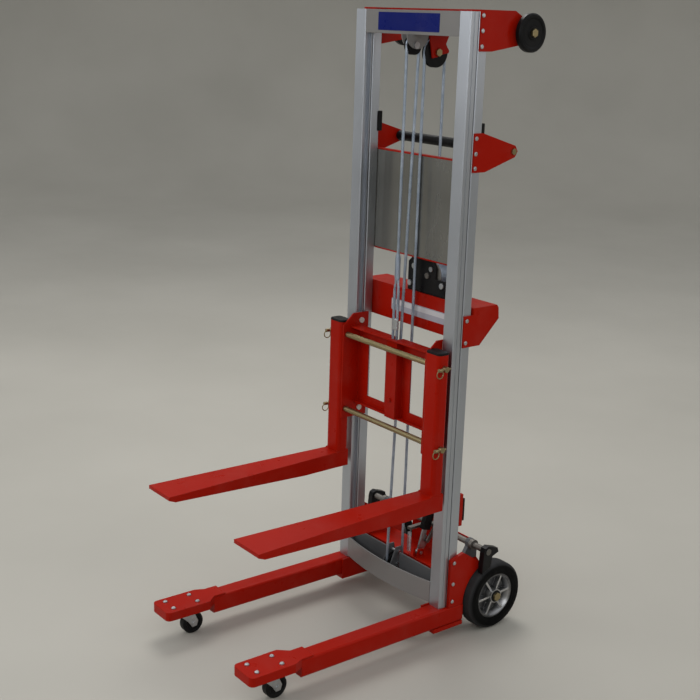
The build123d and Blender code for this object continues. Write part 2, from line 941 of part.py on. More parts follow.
side += rod_x(leg_inner_x, axle_boss_end, wheel_y, wheel_z, axle_boss_radius)
side -= rod_x(axle_plate_inner, axle_boss_end, wheel_y, wheel_z, axle_hole)
axle_reach = wheel_outer_x + end_gap
axle_bolt = along_x(
    hex_bolt(axle_reach - axle_plate_inner + axle_nut, axle_radius, axle_head_radius, axle_head),
    axle_reach, wheel_y, wheel_z,
)
axle_bolt += along_x(extrude(RegularPolygon(axle_head_radius, 6), amount=axle_nut),
                     axle_plate_inner - axle_nut, wheel_y, wheel_z)
large_bolts.append(axle_bolt)
side_bolt_y = outer_front + side_bolt_inset
small_hole = small_bolt_radius + running_fit
for z in side_bolt_heights:
    side -= rod_x(column_out, side_plate_outer, side_bolt_y, z, small_hole)
    outer_column -= rod_x(stage_x1, column_out, side_bolt_y, z, small_hole)
    small_bolts.append(along_x(
        bolt(base_plate + side_wall, small_bolt_radius, small_head_radius, small_head),
        side_plate_outer, side_bolt_y, z,
    ))
deck = box(-axle_plate_inner, axle_plate_inner, deck_front, deck_back, deck_top - deck_plate, deck_top)
deck_low = deck_top - deck_skirt
deck_rear = deck_back - deck_plate
deck += box(-axle_plate_inner, axle_plate_inner, deck_front, deck_front + deck_plate, deck_low, deck_top)
deck += box(-axle_plate_inner, axle_plate_inner, deck_rear, deck_back, deck_low, deck_top)
deck += box(-centre_plate_half, centre_plate_half, deck_rear, deck_back, deck_top, centre_plate_top)
lever_half = lever_thickness / 2
lug_reach = lever_half + lever_lug_gap + lever_lug
lug_outline = [
    (lever_y - lever_lug_foot, deck_top), (lever_y - lever_lug_half, lever_z + lever_lug_head),
    (lever_y + lever_lug_half, lever_z + lever_lug_head), (lever_y + lever_lug_foot, deck_top),
]
for side_sign in (-1, 1):
    x0, x1 = sorted((lever_x + side_sign * (lever_half + lever_lug_gap), lever_x + side_sign * lug_reach))
    deck += plate_x(lug_outline, x0, x1)
deck -= rod_x(lever_x - lug_reach, lever_x + lug_reach, lever_y, lever_z, lever_pin_radius + running_fit)
nodes["base_weldment"] = side + other_side(side) + deck
bearing_x0 = axle_plate_inner - bearing_inner
bearing_x1 = leg_inner_x + bearing_outer
bearing = plate_x([
    (brake_y - bearing_foot, web_shoulder), (brake_y - bearing_foot, bearing_shoulder),
    (brake_y - bearing_neck, brake_z - bearing_hip), (brake_y - bearing_neck, brake_z + bearing_hip),
    (brake_y - bearing_crown_half, brake_z + bearing_crown),
    (brake_y + bearing_crown_half, brake_z + bearing_crown),
    (brake_y + bearing_neck, brake_z + bearing_hip), (brake_y + bearing_back, brake_z),
    (brake_y + bearing_back, web_shoulder),
], bearing_x0, bearing_x1)
bearing -= rod_x(bearing_x0, bearing_x1, brake_y, brake_z, brake_shaft_radius + running_fit)
nodes["brake_bearings"] = both_sides(bearing)

# Load bracket with its wheel
load_outline = [
    (bracket_front, mast_top - load_foot_drop), (load_foot_back, mast_top - load_foot_drop),
    (load_nose_back, load_wheel_z - load_nose_half), (load_wheel_y + load_tip, load_wheel_z),
    (load_nose_back, load_wheel_z + load_nose_half), (tie_back, tie_top), (bracket_front, tie_top),
]
load_bracket = plate_x(load_outline, column_out, bracket_outer)
load_bracket -= rod_x(column_out, bracket_outer, load_wheel_y, load_wheel_z, load_bolt_radius + running_fit)
handle_outline = [
    (bracket_front, push_bar_z - handle_low), (handle_low_back, push_bar_z - handle_low),
    (push_bar_y + handle_tip_run, push_bar_z - handle_tip_half), (push_bar_y + handle_tip, push_bar_z),
    (push_bar_y + handle_tip_run, push_bar_z + handle_tip_half), (handle_high_back, push_bar_z + handle_high),
    (bracket_front, push_bar_z + handle_high),
]
handle_bracket = plate_x(handle_outline, column_out, bracket_outer)
handle_bracket -= rod_x(column_out, bracket_outer, push_bar_y, push_bar_z, push_bolt_radius + running_fit)
load_bolt_heights = [mast_top - drop for drop in load_bolt_drops]
handle_bolt_heights = [push_bar_z + rise for rise in handle_bolt_rises]


def bracket_bolt(y, z):
    place = bolt(bracket_plate + side_wall, small_bolt_radius, small_head_radius, small_head)
    small_bolts.append(along_x(place, bracket_outer, y, z))


for z in load_bolt_heights:
    load_bracket -= rod_x(column_out, bracket_outer, bracket_bolt_y, z, small_hole)
    outer_column -= rod_x(stage_x1, column_out, bracket_bolt_y, z, small_hole)
    bracket_bolt(bracket_bolt_y, z)
for z in handle_bolt_heights:
    handle_bracket -= rod_x(column_out, bracket_outer, bracket_bolt_y, z, small_hole)
    outer_column -= rod_x(stage_x1, column_out, bracket_bolt_y, z, small_hole)
    bracket_bolt(bracket_bolt_y, z)
nodes["load_bracket_right"] = load_bracket
nodes["load_bracket_left"] = other_side(load_bracket)
nodes["handle_bracket_right"] = handle_bracket
nodes["handle_bracket_left"] = other_side(handle_bracket)

load_wheel_inner = bracket_outer + load_wheel_gap
load_wheel_bore = load_bolt_radius + running_fit
load_face = load_wheel_width - load_dish
load_wheel = along_x(turned([
    (load_wheel_bore, -load_hub_proud), (load_hub_radius, -load_hub_proud), (load_hub_radius, load_dish),
    (load_wheel_radius - load_rim_inner - load_dish, load_dish), (load_wheel_radius - load_rim_inner, 0),
    (load_wheel_radius - load_dish, 0), (load_wheel_radius, load_dish),
    (load_wheel_radius, load_wheel_width - load_bevel), (load_wheel_radius - load_bevel, load_wheel_width),
    (load_wheel_radius - load_rim_outer, load_wheel_width),
    (load_wheel_radius - load_rim_outer - load_bevel, load_face),
    (load_hub_radius + load_hub_slope, load_face), (load_hub_radius, load_wheel_width),
    (load_wheel_bore, load_wheel_width),
]), load_wheel_inner, load_wheel_y, load_wheel_z)
load_reach = load_wheel_inner + load_wheel_width + end_gap
load_bolt = along_x(
    hex_bolt(load_reach - column_out + load_nut, load_bolt_radius, load_bolt_head_radius, load_head),
    load_reach, load_wheel_y, load_wheel_z,
)
load_bolt += rod_x(
    bracket_outer, load_wheel_inner - load_hub_proud - end_gap,
    load_wheel_y, load_wheel_z, load_bolt_radius + load_spacer,
)
load_bolt += along_x(extrude(RegularPolygon(load_bolt_head_radius, 6), amount=load_nut),
                     column_out - load_nut, load_wheel_y, load_wheel_z)
large_bolts.append(load_bolt)
nodes["load_wheel_right"] = load_wheel
nodes["load_wheel_left"] = other_side(load_wheel)

# Push bar
push_bar = rod_x(-column_out, column_out, push_bar_y, push_bar_z, push_bar_radius)
for side_sign in (-1, 1):
    x0, x1 = sorted((side_sign * (column_out - push_bolt_depth), side_sign * column_out))
    push_bar -= rod_x(x0, x1, push_bar_y, push_bar_z, push_bolt_radius + running_fit)
nodes["push_bar"] = push_bar
large_bolts.append(along_x(
    hex_bolt(bracket_plate + push_bolt_depth, push_bolt_radius, push_bolt_head_radius, push_bolt_head),
    bracket_outer, push_bar_y, push_bar_z,
))

# Top tie plate with the cheeks of the top sheave
tie_cut_half = column_in - tie_cut_inset
tie_inside = tie_back - bracket_plate
top_cheek_outer = top_cheek_inner + bracket_plate
tie = box(-column_out, column_out, bracket_front, tie_back, mast_top, tie_top)
tie -= box(-tie_cut_half, tie_cut_half, bracket_front, tie_cut_back, mast_top, tie_top)
tie += box(-column_out, column_out, tie_inside, tie_back, mast_top - tie_flange, mast_top)
top_cheek_outline = [
    (tie_cut_back - top_cheek_lead, mast_top), (tie_inside, mast_top), (tie_inside, mast_top - top_cheek_rear),
    *[(top_sheave_y + run, top_sheave_z + rise) for run, rise in top_cheek_lobe],
    (tie_cut_back - top_cheek_lead, mast_top - top_cheek_front),
]
for side_sign in (-1, 1):
    x0, x1 = sorted((side_sign * top_cheek_inner, side_sign * top_cheek_outer))
    tie += plate_x(top_cheek_outline, x0, x1)
tie -= rod_x(-top_cheek_outer, top_cheek_outer, top_sheave_y, top_sheave_z, sheave_pin_radius + running_fit)
nodes["top_tie_plate"] = tie
sheave_bolt_length = 2 * top_cheek_outer + sheave_bolt_head
sheave_bolt = along_x(
    hex_bolt(sheave_bolt_length, sheave_pin_radius, sheave_bolt_head_radius, sheave_bolt_head),
    top_cheek_outer, top_sheave_y, top_sheave_z,
)
sheave_bolt += along_x(extrude(RegularPolygon(sheave_bolt_head_radius, 6), amount=sheave_bolt_head),
                       -top_cheek_outer - sheave_bolt_head, top_sheave_y, top_sheave_z)
sheave_bore = sheave_pin_radius + running_fit
top_sheave = sheave(top_sheave_radius, sheave_lip, sheave_bore)
nodes["top_sheave"] = along_x(top_sheave, 0, top_sheave_y, top_sheave_z)

# Guard panel
panel_back = outer_back + panel_sheet
panel = box(-panel_half, panel_half, outer_back, panel_back, panel_bottom, panel_top)
panel_rear = panel_back + panel_flange
panel += box(-panel_half, panel_half, panel_back, panel_rear, panel_top - panel_sheet, panel_top)
panel += box(-panel_half, panel_half, panel_back, panel_rear, panel_bottom, panel_bottom + panel_sheet)
panel_bolt_x = column_in + panel_bolt_inset
panel_bolt_heights = (panel_bottom + panel_bolt_low, panel_top - panel_bolt_high)
for z in panel_bolt_heights:
    hole = rod_y(outer_back - column_wall, panel_back, panel_bolt_x, z, panel_bolt_radius + running_fit)
    panel = panel - hole - other_side(hole)
    outer_column -= hole
    small_bolts.append(along_y(
        bolt(panel_sheet + panel_wall, panel_bolt_radius, panel_bolt_head_radius, panel_bolt_head),
        panel_bolt_x, panel_back, z,
    ))
nodes["guard_panel"] = panel

# Winch console
console_inside = console_front + console_sheet
console_back = [
    (console_heel, console_bottom), (console_nose, console_top - console_nose_drop),
    (console_brow, console_top - console_brow_drop), (console_deck, console_top),
]
console_side_outline = [(bracket_front, console_bottom)] + console_back + [
    (console_front, console_top), (console_front, console_top - console_ear),
    (bracket_front, console_top - console_ear),
]
console_side = plate_x(console_side_outline, column_out, bracket_outer)
for y, drop in console_bolts:
    z = console_top - drop
    console_side -= rod_x(column_out, bracket_outer, y, z, small_hole)
    outer_column -= rod_x(stage_x1, column_out, y, z, small_hole)
    bracket_bolt(y, z)
console_under = console_top - console_sheet
shell_outline = [(console_front, console_wall_bottom), (console_front, console_top)] + console_back[::-1] + [
    (console_heel - console_heel_edge, console_bottom),
    (console_nose_inside, console_top - console_nose_inside_drop),
    (console_brow_inside, console_top - console_brow_inside_drop), (console_deck_inside, console_under),
    (console_inside, console_under), (console_inside, console_wall_bottom),
]
console = plate_x(shell_outline, -column_out, column_out)
nodes["outer_column_right"] = outer_column
nodes["outer_column_left"] = other_side(outer_column)

# Winch frame
winch_base_top = console_top + winch_base
crank_x = drum_x - math.sqrt(gear_centres ** 2 - crank_rise ** 2)
crank_z = drum_z + crank_rise
winch_outline = [
    (winch_x0, console_top), (winch_x1, console_top), (winch_x1, drum_z - winch_step_drop),
    (winch_step_x, drum_z - winch_step_drop), (winch_step_x, drum_z + winch_shoulder),
    (winch_crown_x, drum_z + winch_crown), (winch_brow_x, drum_z + winch_brow),
    (winch_x0, drum_z + winch_cheek),
]
winch_rear = winch_back - winch_plate
winch_inside = winch_front + winch_plate
winch = box(winch_x0, winch_x1, winch_front, winch_back, console_top, winch_base_top)
winch += plate_y(winch_outline, winch_front, winch_inside)
winch += plate_y(winch_outline, winch_rear, winch_back)
winch -= rod_y(winch_front, winch_back, drum_x, drum_z, drum_axle_radius + running_fit)
winch -= rod_y(winch_front, winch_back, crank_x, crank_z, crank_shaft_radius + running_fit)
winch_bolts = []
winch_bolt_x0 = winch_x0 + winch_bolt_left
winch_bolt_x1 = winch_x1 - winch_bolt_right
for x, rise in ((winch_bolt_x0, spacer_left_rise), (winch_bolt_x1, spacer_right_rise)):
    z = console_top + rise
    winch -= rod_y(winch_front, winch_back, x, z, spacer_radius + running_fit)
    spacer = rod_y(winch_front - spacer_head, winch_back + spacer_head, x, z, spacer_radius)
    spacer += rod_y(winch_front - spacer_head, winch_front, x, z, spacer_radius + spacer_head_rim)
    spacer += rod_y(winch_back, winch_back + spacer_head, x, z, spacer_radius + spacer_head_rim)
    winch_bolts.append(spacer)
pawl_bolt_z = drum_z + pawl_bolt_rise
winch -= rod_y(winch_front, winch_inside, pawl_bolt_x, pawl_bolt_z, caster_bolt_hole)
pawl_bolt = rod_y(winch_front, winch_inside, pawl_bolt_x, pawl_bolt_z, caster_bolt_radius)
pawl_bolt += rod_y(winch_front - spacer_head, winch_front, pawl_bolt_x, pawl_bolt_z, pawl_bolt_head_radius)
winch_bolts.append(pawl_bolt)
for x in (winch_bolt_x0, winch_bolt_x1):
    for y in (winch_inside + winch_bolt_edge, winch_rear - winch_bolt_edge):
        hole = rod_z(console_under, winch_base_top, x, y, caster_bolt_hole)
        winch -= hole
        console -= hole
        winch_bolts.append(Pos(x, y, winch_base_top) * bolt(
            winch_base + console_sheet, caster_bolt_radius, caster_bolt_head_radius, caster_head,
        ))
nodes["winch_frame"] = winch
nodes["winch_housing"] = [console] + both_sides(console_side)

# Winch drum with its gear
core_radius = winding_radius - cable_radius - cable_clearance
drum_front = winch_inside + winch_side_gap
gear_back = winch_rear - winch_side_gap
axle_front = winch_front - winch_axle_end
axle_back = winch_back + winch_axle_end
gear_front = gear_back - gear_width
drum = turned([
    (0, axle_front), (drum_axle_radius, axle_front), (drum_axle_radius, drum_front),
    (drum_flange_radius, drum_front), (drum_flange_radius, drum_front + drum_flange),
    (core_radius, drum_front + drum_flange), (core_radius, gear_front), (gear_tip_radius, gear_front),
    (gear_tip_radius, gear_back), (drum_axle_radius, gear_back), (drum_axle_radius, axle_back), (0, axle_back),
])
nodes["winch_drum"] = along_y(drum, drum_x, 0, drum_z)

# Crank shaft, arm and grip
crank_shaft = turned([
    (0, winch_front - crank_end), (crank_shaft_radius, winch_front - crank_end),
    (crank_shaft_radius, gear_front), (pinion_tip_radius, gear_front), (pinion_tip_radius, gear_back),
    (crank_shaft_radius, gear_back), (crank_shaft_radius, crank_back), (0, crank_back),
])
nodes["crank_shaft"] = along_y(crank_shaft, crank_x, 0, crank_z)
crank_front = crank_back - crank_arm_thickness
arm_flat = SlotCenterToCenter(crank_throw, 2 * crank_arm_half)
crank_arm = extrude(arm_flat, amount=crank_arm_thickness)
crank_arm = Pos(crank_throw / 2, 0, 0) * crank_arm
crank_arm -= Cylinder(crank_shaft_radius, 3 * crank_arm_thickness)
grip_front = crank_arm_thickness + crank_grip_gap
grip_back = grip_front + crank_grip_length
washer_start = grip_back + 4 * end_gap
washer_end = grip_back + crank_end + 3 * end_gap
crank_arm += rod_z(0, washer_start, crank_throw, 0, crank_pin_radius)
crank_arm += rod_z(washer_start, washer_end, crank_throw, 0, crank_pin_radius + crank_washer_rim)
crank_place = Pos(crank_x, crank_front, crank_z) * Rot(0, -90 - crank_lean, 0) * Rot(-90, 0, 0)
nodes["crank_arm"] = crank_place * crank_arm
grip_bore = crank_pin_radius + running_fit
grip = turned([
    (grip_bore, grip_front), (crank_grip_radius - crank_grip_collar, grip_front),
    (crank_grip_radius, grip_front + crank_grip_round),
    (crank_grip_radius - crank_grip_waist, grip_front + crank_grip_length / 2),
    (crank_grip_radius, grip_back - crank_grip_tail), (crank_grip_radius - crank_grip_round, grip_back),
    (grip_bore, grip_back),
])
nodes["crank_grip"] = crank_place * Pos(crank_throw, 0, 0) * grip

# Lift cable on the drum, up to the top sheave and over it
winding_back = fall_y
winding_pitch = (winding_back - winding_front) / winding_turns


def winding_point(turn):
    angle = math.radians(180 + 360 * (winding_turns - turn))
    return Vector(
        drum_x + winding_radius * math.cos(angle), winding_front + winding_pitch * turn,
        drum_z + winding_radius * math.sin(angle),
    )


def winding_way(turn):
    angle = math.radians(180 + 360 * (winding_turns - turn))
    around = 2 * math.pi * winding_radius
    return Vector(around * math.sin(angle), winding_pitch, -around * math.cos(angle)).normalized()


up = Vector(0, 0, 1)
winding_edges = []
winding_arc_count = int(winding_turns * turn_arc_count)
for i in range(winding_arc_count):
    first = winding_turns * i / winding_arc_count
    last = winding_turns * (i + 1) / winding_arc_count
    last_way = winding_way(last) if i < winding_arc_count - 1 else up
    winding_edges += biarc(winding_point(first), winding_way(first), winding_point(last), last_way)
winding_start = winding_point(0) - winding_way(0) * (2 * cable_radius)
lead_in = Line(winding_start, winding_point(0))
fall_start = winding_point(winding_turns)
fall_end = Vector(0, fall_y, top_sheave_z)
crest = Vector(0, top_sheave_y, top_sheave_z + top_sheave_radius)
drop_top = Vector(0, drop_y, top_sheave_z)
fall = Line(fall_start, fall_end)
over_top = ThreePointArc(fall_end, crest, drop_top)
hoist_edges = [lead_in] + winding_edges + [fall, over_top]
hoist_cable = tube_along(hoist_edges, cable_radius)
nodes["hoist_cable"] = hoist_cable
report_tube("hoist_cable", hoist_cable, hoist_edges, cable_radius)
least_self_gap("hoist_cable", [lead_in] + winding_edges, cable_radius, math.pi * winding_radius)

# Cable drop, loop round the inner mast, and tail to the carriage
foot_centre = Vector(0, foot_sheave_y, foot_sheave_z)
head_centre = Vector(0, inner_sheave_y, inner_sheave_z)
span_y = inner_sheave_y - foot_sheave_y
span_z = inner_sheave_z - foot_sheave_z
crossing = foot_sheave_radius + inner_sheave_radius
span = math.sqrt(span_y ** 2 + span_z ** 2 - crossing ** 2)
lean = math.atan2(span_y, span_z) + math.atan2(crossing, span)
side_way = Vector(0, -math.cos(lean), math.sin(lean))
foot_leave = foot_centre + side_way * foot_sheave_radius
head_meet = head_centre - side_way * inner_sheave_radius
drop_foot = Vector(0, drop_y, foot_sheave_z)
foot_low = foot_centre + Vector(0, 0, -foot_sheave_radius)
head_high = head_centre + Vector(0, 0, inner_sheave_radius)
tail_top = Vector(0, cable_front_y, inner_sheave_z)
loop_edges = [
    ThreePointArc(drop_foot, foot_low, foot_leave),
    Line(foot_leave, head_meet),
    ThreePointArc(head_meet, head_high, tail_top),
]
cable_loop = tube_along(loop_edges, cable_radius)
nodes["cable_loop"] = cable_loop
report_tube("cable_loop", cable_loop, loop_edges, cable_radius)
nodes["cable_drop"] = rod_z(foot_sheave_z, top_sheave_z, 0, drop_y, cable_radius)
nodes["cable_tail"] = rod_z(sleeve_top, inner_sheave_z, 0, cable_front_y, cable_radius)

# Inner mast top beam with the cheeks of the inner sheave
beam = box(-column_in, column_in, beam_front, beam_front + beam_plate, beam_bottom, mast_top)
beam += box(-column_in, column_in, beam_front, beam_back, mast_top - beam_plate, mast_top)
beam += box(-column_in, column_in, beam_front, beam_back, beam_bottom, beam_bottom + beam_plate)
cheek_outer = cheek_inner + cheek_plate
for side_sign in (-1, 1):
    x0, x1 = sorted((side_sign * cheek_inner, side_sign * cheek_outer))
    disc = rod_x(x0, x1, cheek_y, beam_bottom, cheek_radius)
    disc -= box(
        x0, x1, cheek_y - cheek_radius, cheek_y + cheek_radius, beam_bottom, beam_bottom + cheek_radius,
    )
    beam += disc
beam -= rod_x(-cheek_outer, cheek_outer, inner_sheave_y, inner_sheave_z, sheave_bore)
nodes["inner_top_beam"] = beam
nodes["inner_sheave"] = along_x(
    sheave(inner_sheave_radius, sheave_lip, sheave_bore), 0, inner_sheave_y, inner_sheave_z,
)

# Inner mast foot
bow_radius = (column_in ** 2 + bow_depth ** 2) / (2 * bow_depth)
bow_centre_y = bow_radius - bow_depth
bow = Pos(0, bow_centre_y, foot_bottom + bow_height / 2) * (
    Cylinder(bow_radius, bow_height) - Cylinder(bow_radius - bow_plate, bow_height)
)
bow = bow & box(-column_in, column_in, -bow_depth, column_width, foot_bottom, foot_bottom + bow_height)
nodes["inner_foot_bow"] = bow
foot_plate_back = foot_plate_y + bow_plate
lug_outer = lug_inner + lug_plate
foot = box(-column_in, column_in, foot_plate_y, foot_plate_back, foot_bottom, foot_plate_top)
foot_notch_half = lug_outer + foot_notch_margin
foot -= box(-foot_notch_half, foot_notch_half, foot_plate_y, foot_plate_back, foot_notch, foot_plate_top)
foot_slot = foot_sheave_z - foot_sheave_radius - foot_sheave_lip - foot_slot_gap
foot -= box(-lug_inner, lug_inner, foot_plate_y, foot_plate_back, foot_slot, foot_notch)
foot += box(-lug_outer, lug_outer, foot_lug_front, foot_lug_back, foot_bottom, foot_bottom + bow_plate)
foot_lug_outline = [
    (foot_lug_front, foot_bottom), (foot_lug_front, foot_lug_front_top),
    (foot_sheave_y - foot_lug_tip_half, keeper_z + foot_lug_tip),
    (foot_sheave_y + foot_lug_tip_half, keeper_z + foot_lug_tip),
    (foot_lug_back, foot_lug_back_top), (foot_lug_back, foot_bottom),
]
for side_sign in (-1, 1):
    x0, x1 = sorted((side_sign * lug_inner, side_sign * lug_outer))
    foot += plate_x(foot_lug_outline, x0, x1)
foot -= rod_x(-lug_outer, lug_outer, foot_sheave_y, foot_sheave_z, sheave_bore)
foot -= rod_x(-lug_outer, lug_outer, foot_sheave_y, keeper_z, keeper_radius + running_fit)
nodes["inner_foot_channel"] = foot
nodes["foot_sheave"] = along_x(
    sheave(foot_sheave_radius, foot_sheave_lip, sheave_bore), 0, foot_sheave_y, foot_sheave_z,
)


def headed_pin(reach, y, z, radius, head_radius):
    pin = rod_x(-reach - pin_head, reach + pin_head, y, z, radius)
    pin += rod_x(reach, reach + pin_head, y, z, head_radius)
    return pin + rod_x(-reach - pin_head, -reach, y, z, head_radius)


nodes["inner_sheave_pins"] = [
    headed_pin(lug_outer, foot_sheave_y, foot_sheave_z, sheave_pin_radius, sheave_pin_head_radius),
    headed_pin(lug_outer, foot_sheave_y, keeper_z, keeper_radius, keeper_head_radius),
    headed_pin(cheek_outer, inner_sheave_y, inner_sheave_z, sheave_pin_radius, sheave_pin_head_radius),
]

# Carriage frame
rod_hole = fork_rod_radius + running_fit
carriage_side = plate_x([
    (carriage_front, carriage_bottom), (carriage_front, carriage_top + cheek_rise),
    (ear_front, carriage_top + ear_rise), (ear_back, carriage_top + ear_rise),
    (ear_back, carriage_top - ear_low), (carriage_middle, carriage_top - ear_notch),
    (carriage_middle, back_plate_bottom + ear_foot_notch),
    (ear_back, back_plate_bottom - ear_foot), (ear_back, carriage_bottom),
], carriage_side_inner, carriage_side_outer)
for z in (rod_upper_z, rod_lower_z):
    carriage_side -= rod_x(carriage_side_inner, carriage_side_outer, rod_y_axis, z, rod_hole)
stud_hole = stud_radius + running_fit
for z in (upper_slide_z, lower_slide_z):
    carriage_side -= rod_x(carriage_side_inner, carriage_side_outer, carriage_middle, z, stud_hole)
back_plate_back = back_plate_y + back_plate
back = box(
    -carriage_side_inner, carriage_side_inner, back_plate_y, back_plate_back, back_plate_bottom, carriage_top,
)
shelf_top = back_plate_bottom + back_plate
shelf_under = carriage_top - back_plate
spine_inner = spine_half - back_plate
back -= box(-spine_inner, spine_inner, back_plate_y, back_plate_back, back_plate_bottom, carriage_top)
for side_sign in (-1, 1):
    x0, x1 = sorted((side_sign * window_inner, side_sign * window_outer))
    back -= box(x0, x1, back_plate_y, back_plate_back, window_bottom, window_top)
    x2, x3 = sorted((side_sign * spine_inner, side_sign * spine_half))
    back += box(x2, x3, spine_front, back_plate_back, back_plate_bottom, carriage_top)
back += box(-spine_half, spine_half, spine_front, spine_front + back_plate, back_plate_bottom, carriage_top)
back += box(
    -carriage_side_inner, carriage_side_inner, shelf_front, back_plate_back, shelf_under, carriage_top,
)
back -= box(
    -cable_way, cable_way, spine_front + back_plate, back_plate_back, shelf_under, carriage_top,
)
back += box(
    -carriage_side_inner, -spine_half, low_shelf_front, back_plate_back, back_plate_bottom, shelf_top,
)
back += box(
    spine_half, carriage_side_inner, low_shelf_front, back_plate_back, back_plate_bottom, shelf_top,
)
back += rod_y(spine_front - anchor_head, anchor_back, 0, anchor_z, anchor_radius)
nodes["carriage_frame"] = back + carriage_side + other_side(carriage_side)


# Carriage slides with their studs
def carriage_slide(z):
    z0 = z - carriage_slide_height / 2
    z1 = z + carriage_slide_height / 2
    half = carriage_channel_depth / 2 - slide_clearance
    slide = box(
        carriage_side_outer, carriage_channel_out - slide_clearance,
        carriage_middle - half, carriage_middle + half, z0, z1,
    )
    stud_end = carriage_side_inner - stud_head
    slide += rod_x(stud_end, carriage_side_outer, carriage_middle, z, stud_radius)
    return slide + rod_x(stud_end, carriage_side_inner, carriage_middle, z, stud_radius + stud_head_rim)


nodes["carriage_slides"] = []
for z in (upper_slide_z, lower_slide_z):
    nodes["carriage_slides"] += both_sides(carriage_slide(z))

# Forks with their caps
tine_root_x = fork_inner_x + fork_width / 2
root_half = tine_root_width / 2
tip_half = tine_tip_width / 2
shoulder = fork_front - tine_shoulder
tine_side = [
    (fork_back, fork_bottom), (fork_back, tine_top), (tine_tip, tine_tip_top),
    (tine_tip, tine_tip_bottom + tine_nose_rise), (tine_tip + tine_nose_run, tine_tip_bottom),
    (fork_front - tine_belly, fork_bottom),
]
tine_plan = [
    (tine_root_x - root_half, fork_back), (tine_root_x - root_half, shoulder),
    (tine_tip_x - tip_half, tine_tip), (tine_tip_x + tip_half, tine_tip),
    (tine_root_x + root_half, shoulder), (tine_root_x + root_half, fork_back),
]
tine_far = tine_tip_x + tip_half
tine_near = tine_tip_x - tip_half
tine = plate_x(tine_side, tine_near, tine_far) & plate_z(tine_plan, fork_bottom, tine_top)
hollow_low = fork_bottom - tine_wall
hollow_plan = [
    (tine_root_x - root_half + tine_wall, shoulder), (tine_near + tine_wall, tine_tip + tine_nose_wall),
    (tine_far - tine_wall, tine_tip + tine_nose_wall), (tine_root_x + root_half - tine_wall, shoulder),
]
hollow_side = [
    (shoulder, hollow_low), (shoulder, tine_top - tine_wall), (tine_tip, tine_tip_top - tine_wall),
    (tine_tip, hollow_low),
]
tine -= plate_x(hollow_side, tine_near, tine_far) & plate_z(hollow_plan, hollow_low, tine_top)
shank_bottom = tine_top - tine_wall
fork = tine + rounded_z(fork_inner_x, fork_outer_x, fork_front, fork_back, fork_corner, shank_bottom, shank_top)
fork += box(fork_inner_x, fork_outer_x, fork_front, fork_back, shank_bottom, tine_top + fork_foot)
bore_x0 = fork_inner_x + fork_wall
bore_x1 = fork_outer_x - fork_wall
bore_front = fork_front + fork_wall
bore_back = fork_back - fork_wall
bore_corner = fork_corner - fork_wall
fork -= rounded_z(bore_x0, bore_x1, bore_front, bore_back, bore_corner, tine_top, shank_top)
for z in (rod_upper_z, rod_lower_z):
    fork -= rod_x(fork_inner_x, fork_outer_x, rod_y_axis, z, rod_hole)
nodes["fork_right"] = fork
nodes["fork_left"] = other_side(fork)
cap = rounded_z(fork_inner_x, fork_outer_x, fork_front, fork_back, fork_corner, shank_top, shank_top + fork_cap)
cap = chamfer(cap.faces().sort_by(Axis.Z)[-1].edges(), fork_cap_chamfer)
plug = bevelled(bore_x0, bore_x1, bore_front, bore_back, bore_corner)
cap += plate_z(plug, shank_top - fork_cap_plug, shank_top)
nodes["fork_caps"] = both_sides(cap)

# Fork rods and hitch pins
hitch_hole = hitch_pin_radius + running_fit
hitch_front = rod_y_axis - hitch_reach
hitch_back = rod_y_axis + hitch_reach
rods = []
pins = []
for z in (rod_upper_z, rod_lower_z):
    rod = rod_x(-fork_rod_half, fork_rod_half, rod_y_axis, z, fork_rod_radius)
    for side_sign in (-1, 1):
        x = side_sign * hitch_pin_x
        rod -= rod_y(rod_y_axis - fork_rod_radius, rod_y_axis + fork_rod_radius, x, z, hitch_hole)
        pin = rod_y(hitch_front, hitch_back, x, z, hitch_pin_radius)
        pin += rod_y(hitch_front - 2 * hitch_head, hitch_front, x, z, hitch_head)
        ring = Rot(0, 90, 0) * Torus(hitch_ring_radius, hitch_ring_wire)
        ring = Pos(x, hitch_front - hitch_head, z - hitch_ring_radius) * ring
        pins.append(pin + ring)
    rods.append(rod)
nodes["fork_rods"] = rods
nodes["hitch_pins"] = pins

# Cable end fitting on the carriage
left_top = Vector(-strand_offset, cable_front_y, ferrule_bottom)
right_top = Vector(strand_offset, cable_front_y, ferrule_bottom)
left_low = Vector(-strand_offset, cable_front_y, anchor_z)
right_low = Vector(strand_offset, cable_front_y, anchor_z)
bight = Vector(0, cable_front_y, anchor_z - strand_offset)
end_edges = [Line(left_top, left_low), ThreePointArc(left_low, bight, right_low), Line(right_low, right_top)]
cable_end = tube_along(end_edges, cable_radius)
report_tube("cable_end loop", cable_end, end_edges, cable_radius)
for side_sign in (-1, 1):
    x = side_sign * strand_offset
    cable_end += rod_z(ferrule_bottom, sleeve_bottom + strand_turn, x, cable_front_y, cable_radius)
ferrule_half = strand_offset + cable_radius + ferrule_wall
cable_end += box(
    -ferrule_half, ferrule_half, cable_front_y - ferrule_half_depth, cable_front_y + ferrule_half_depth,
    ferrule_bottom, ferrule_top,
)
sleeve_wide = strand_offset + cable_radius + sleeve_wall
cable_end += rod_z(sleeve_bottom, sleeve_bottom + strand_turn, 0, cable_front_y, sleeve_wide)
cable_end += rod_z(sleeve_bottom + strand_turn, sleeve_top, 0, cable_front_y, sleeve_radius)
nodes["cable_end"] = cable_end

# Brake shaft with collars, spring arm and link finger
link_y = brake_y - lever_y
link_z = brake_z - lever_z
link_span = math.hypot(link_y, link_z)
link_pin_y = lever_y + link_y * lever_ear / link_span
link_pin_z = lever_z + link_z * lever_ear / link_span
collar_inner = leg_inner_x + collar_gap
collar_outer = collar_inner + collar_width
finger_x0 = lever_x + lever_half + finger_gap
finger_x1 = finger_x0 + finger_plate


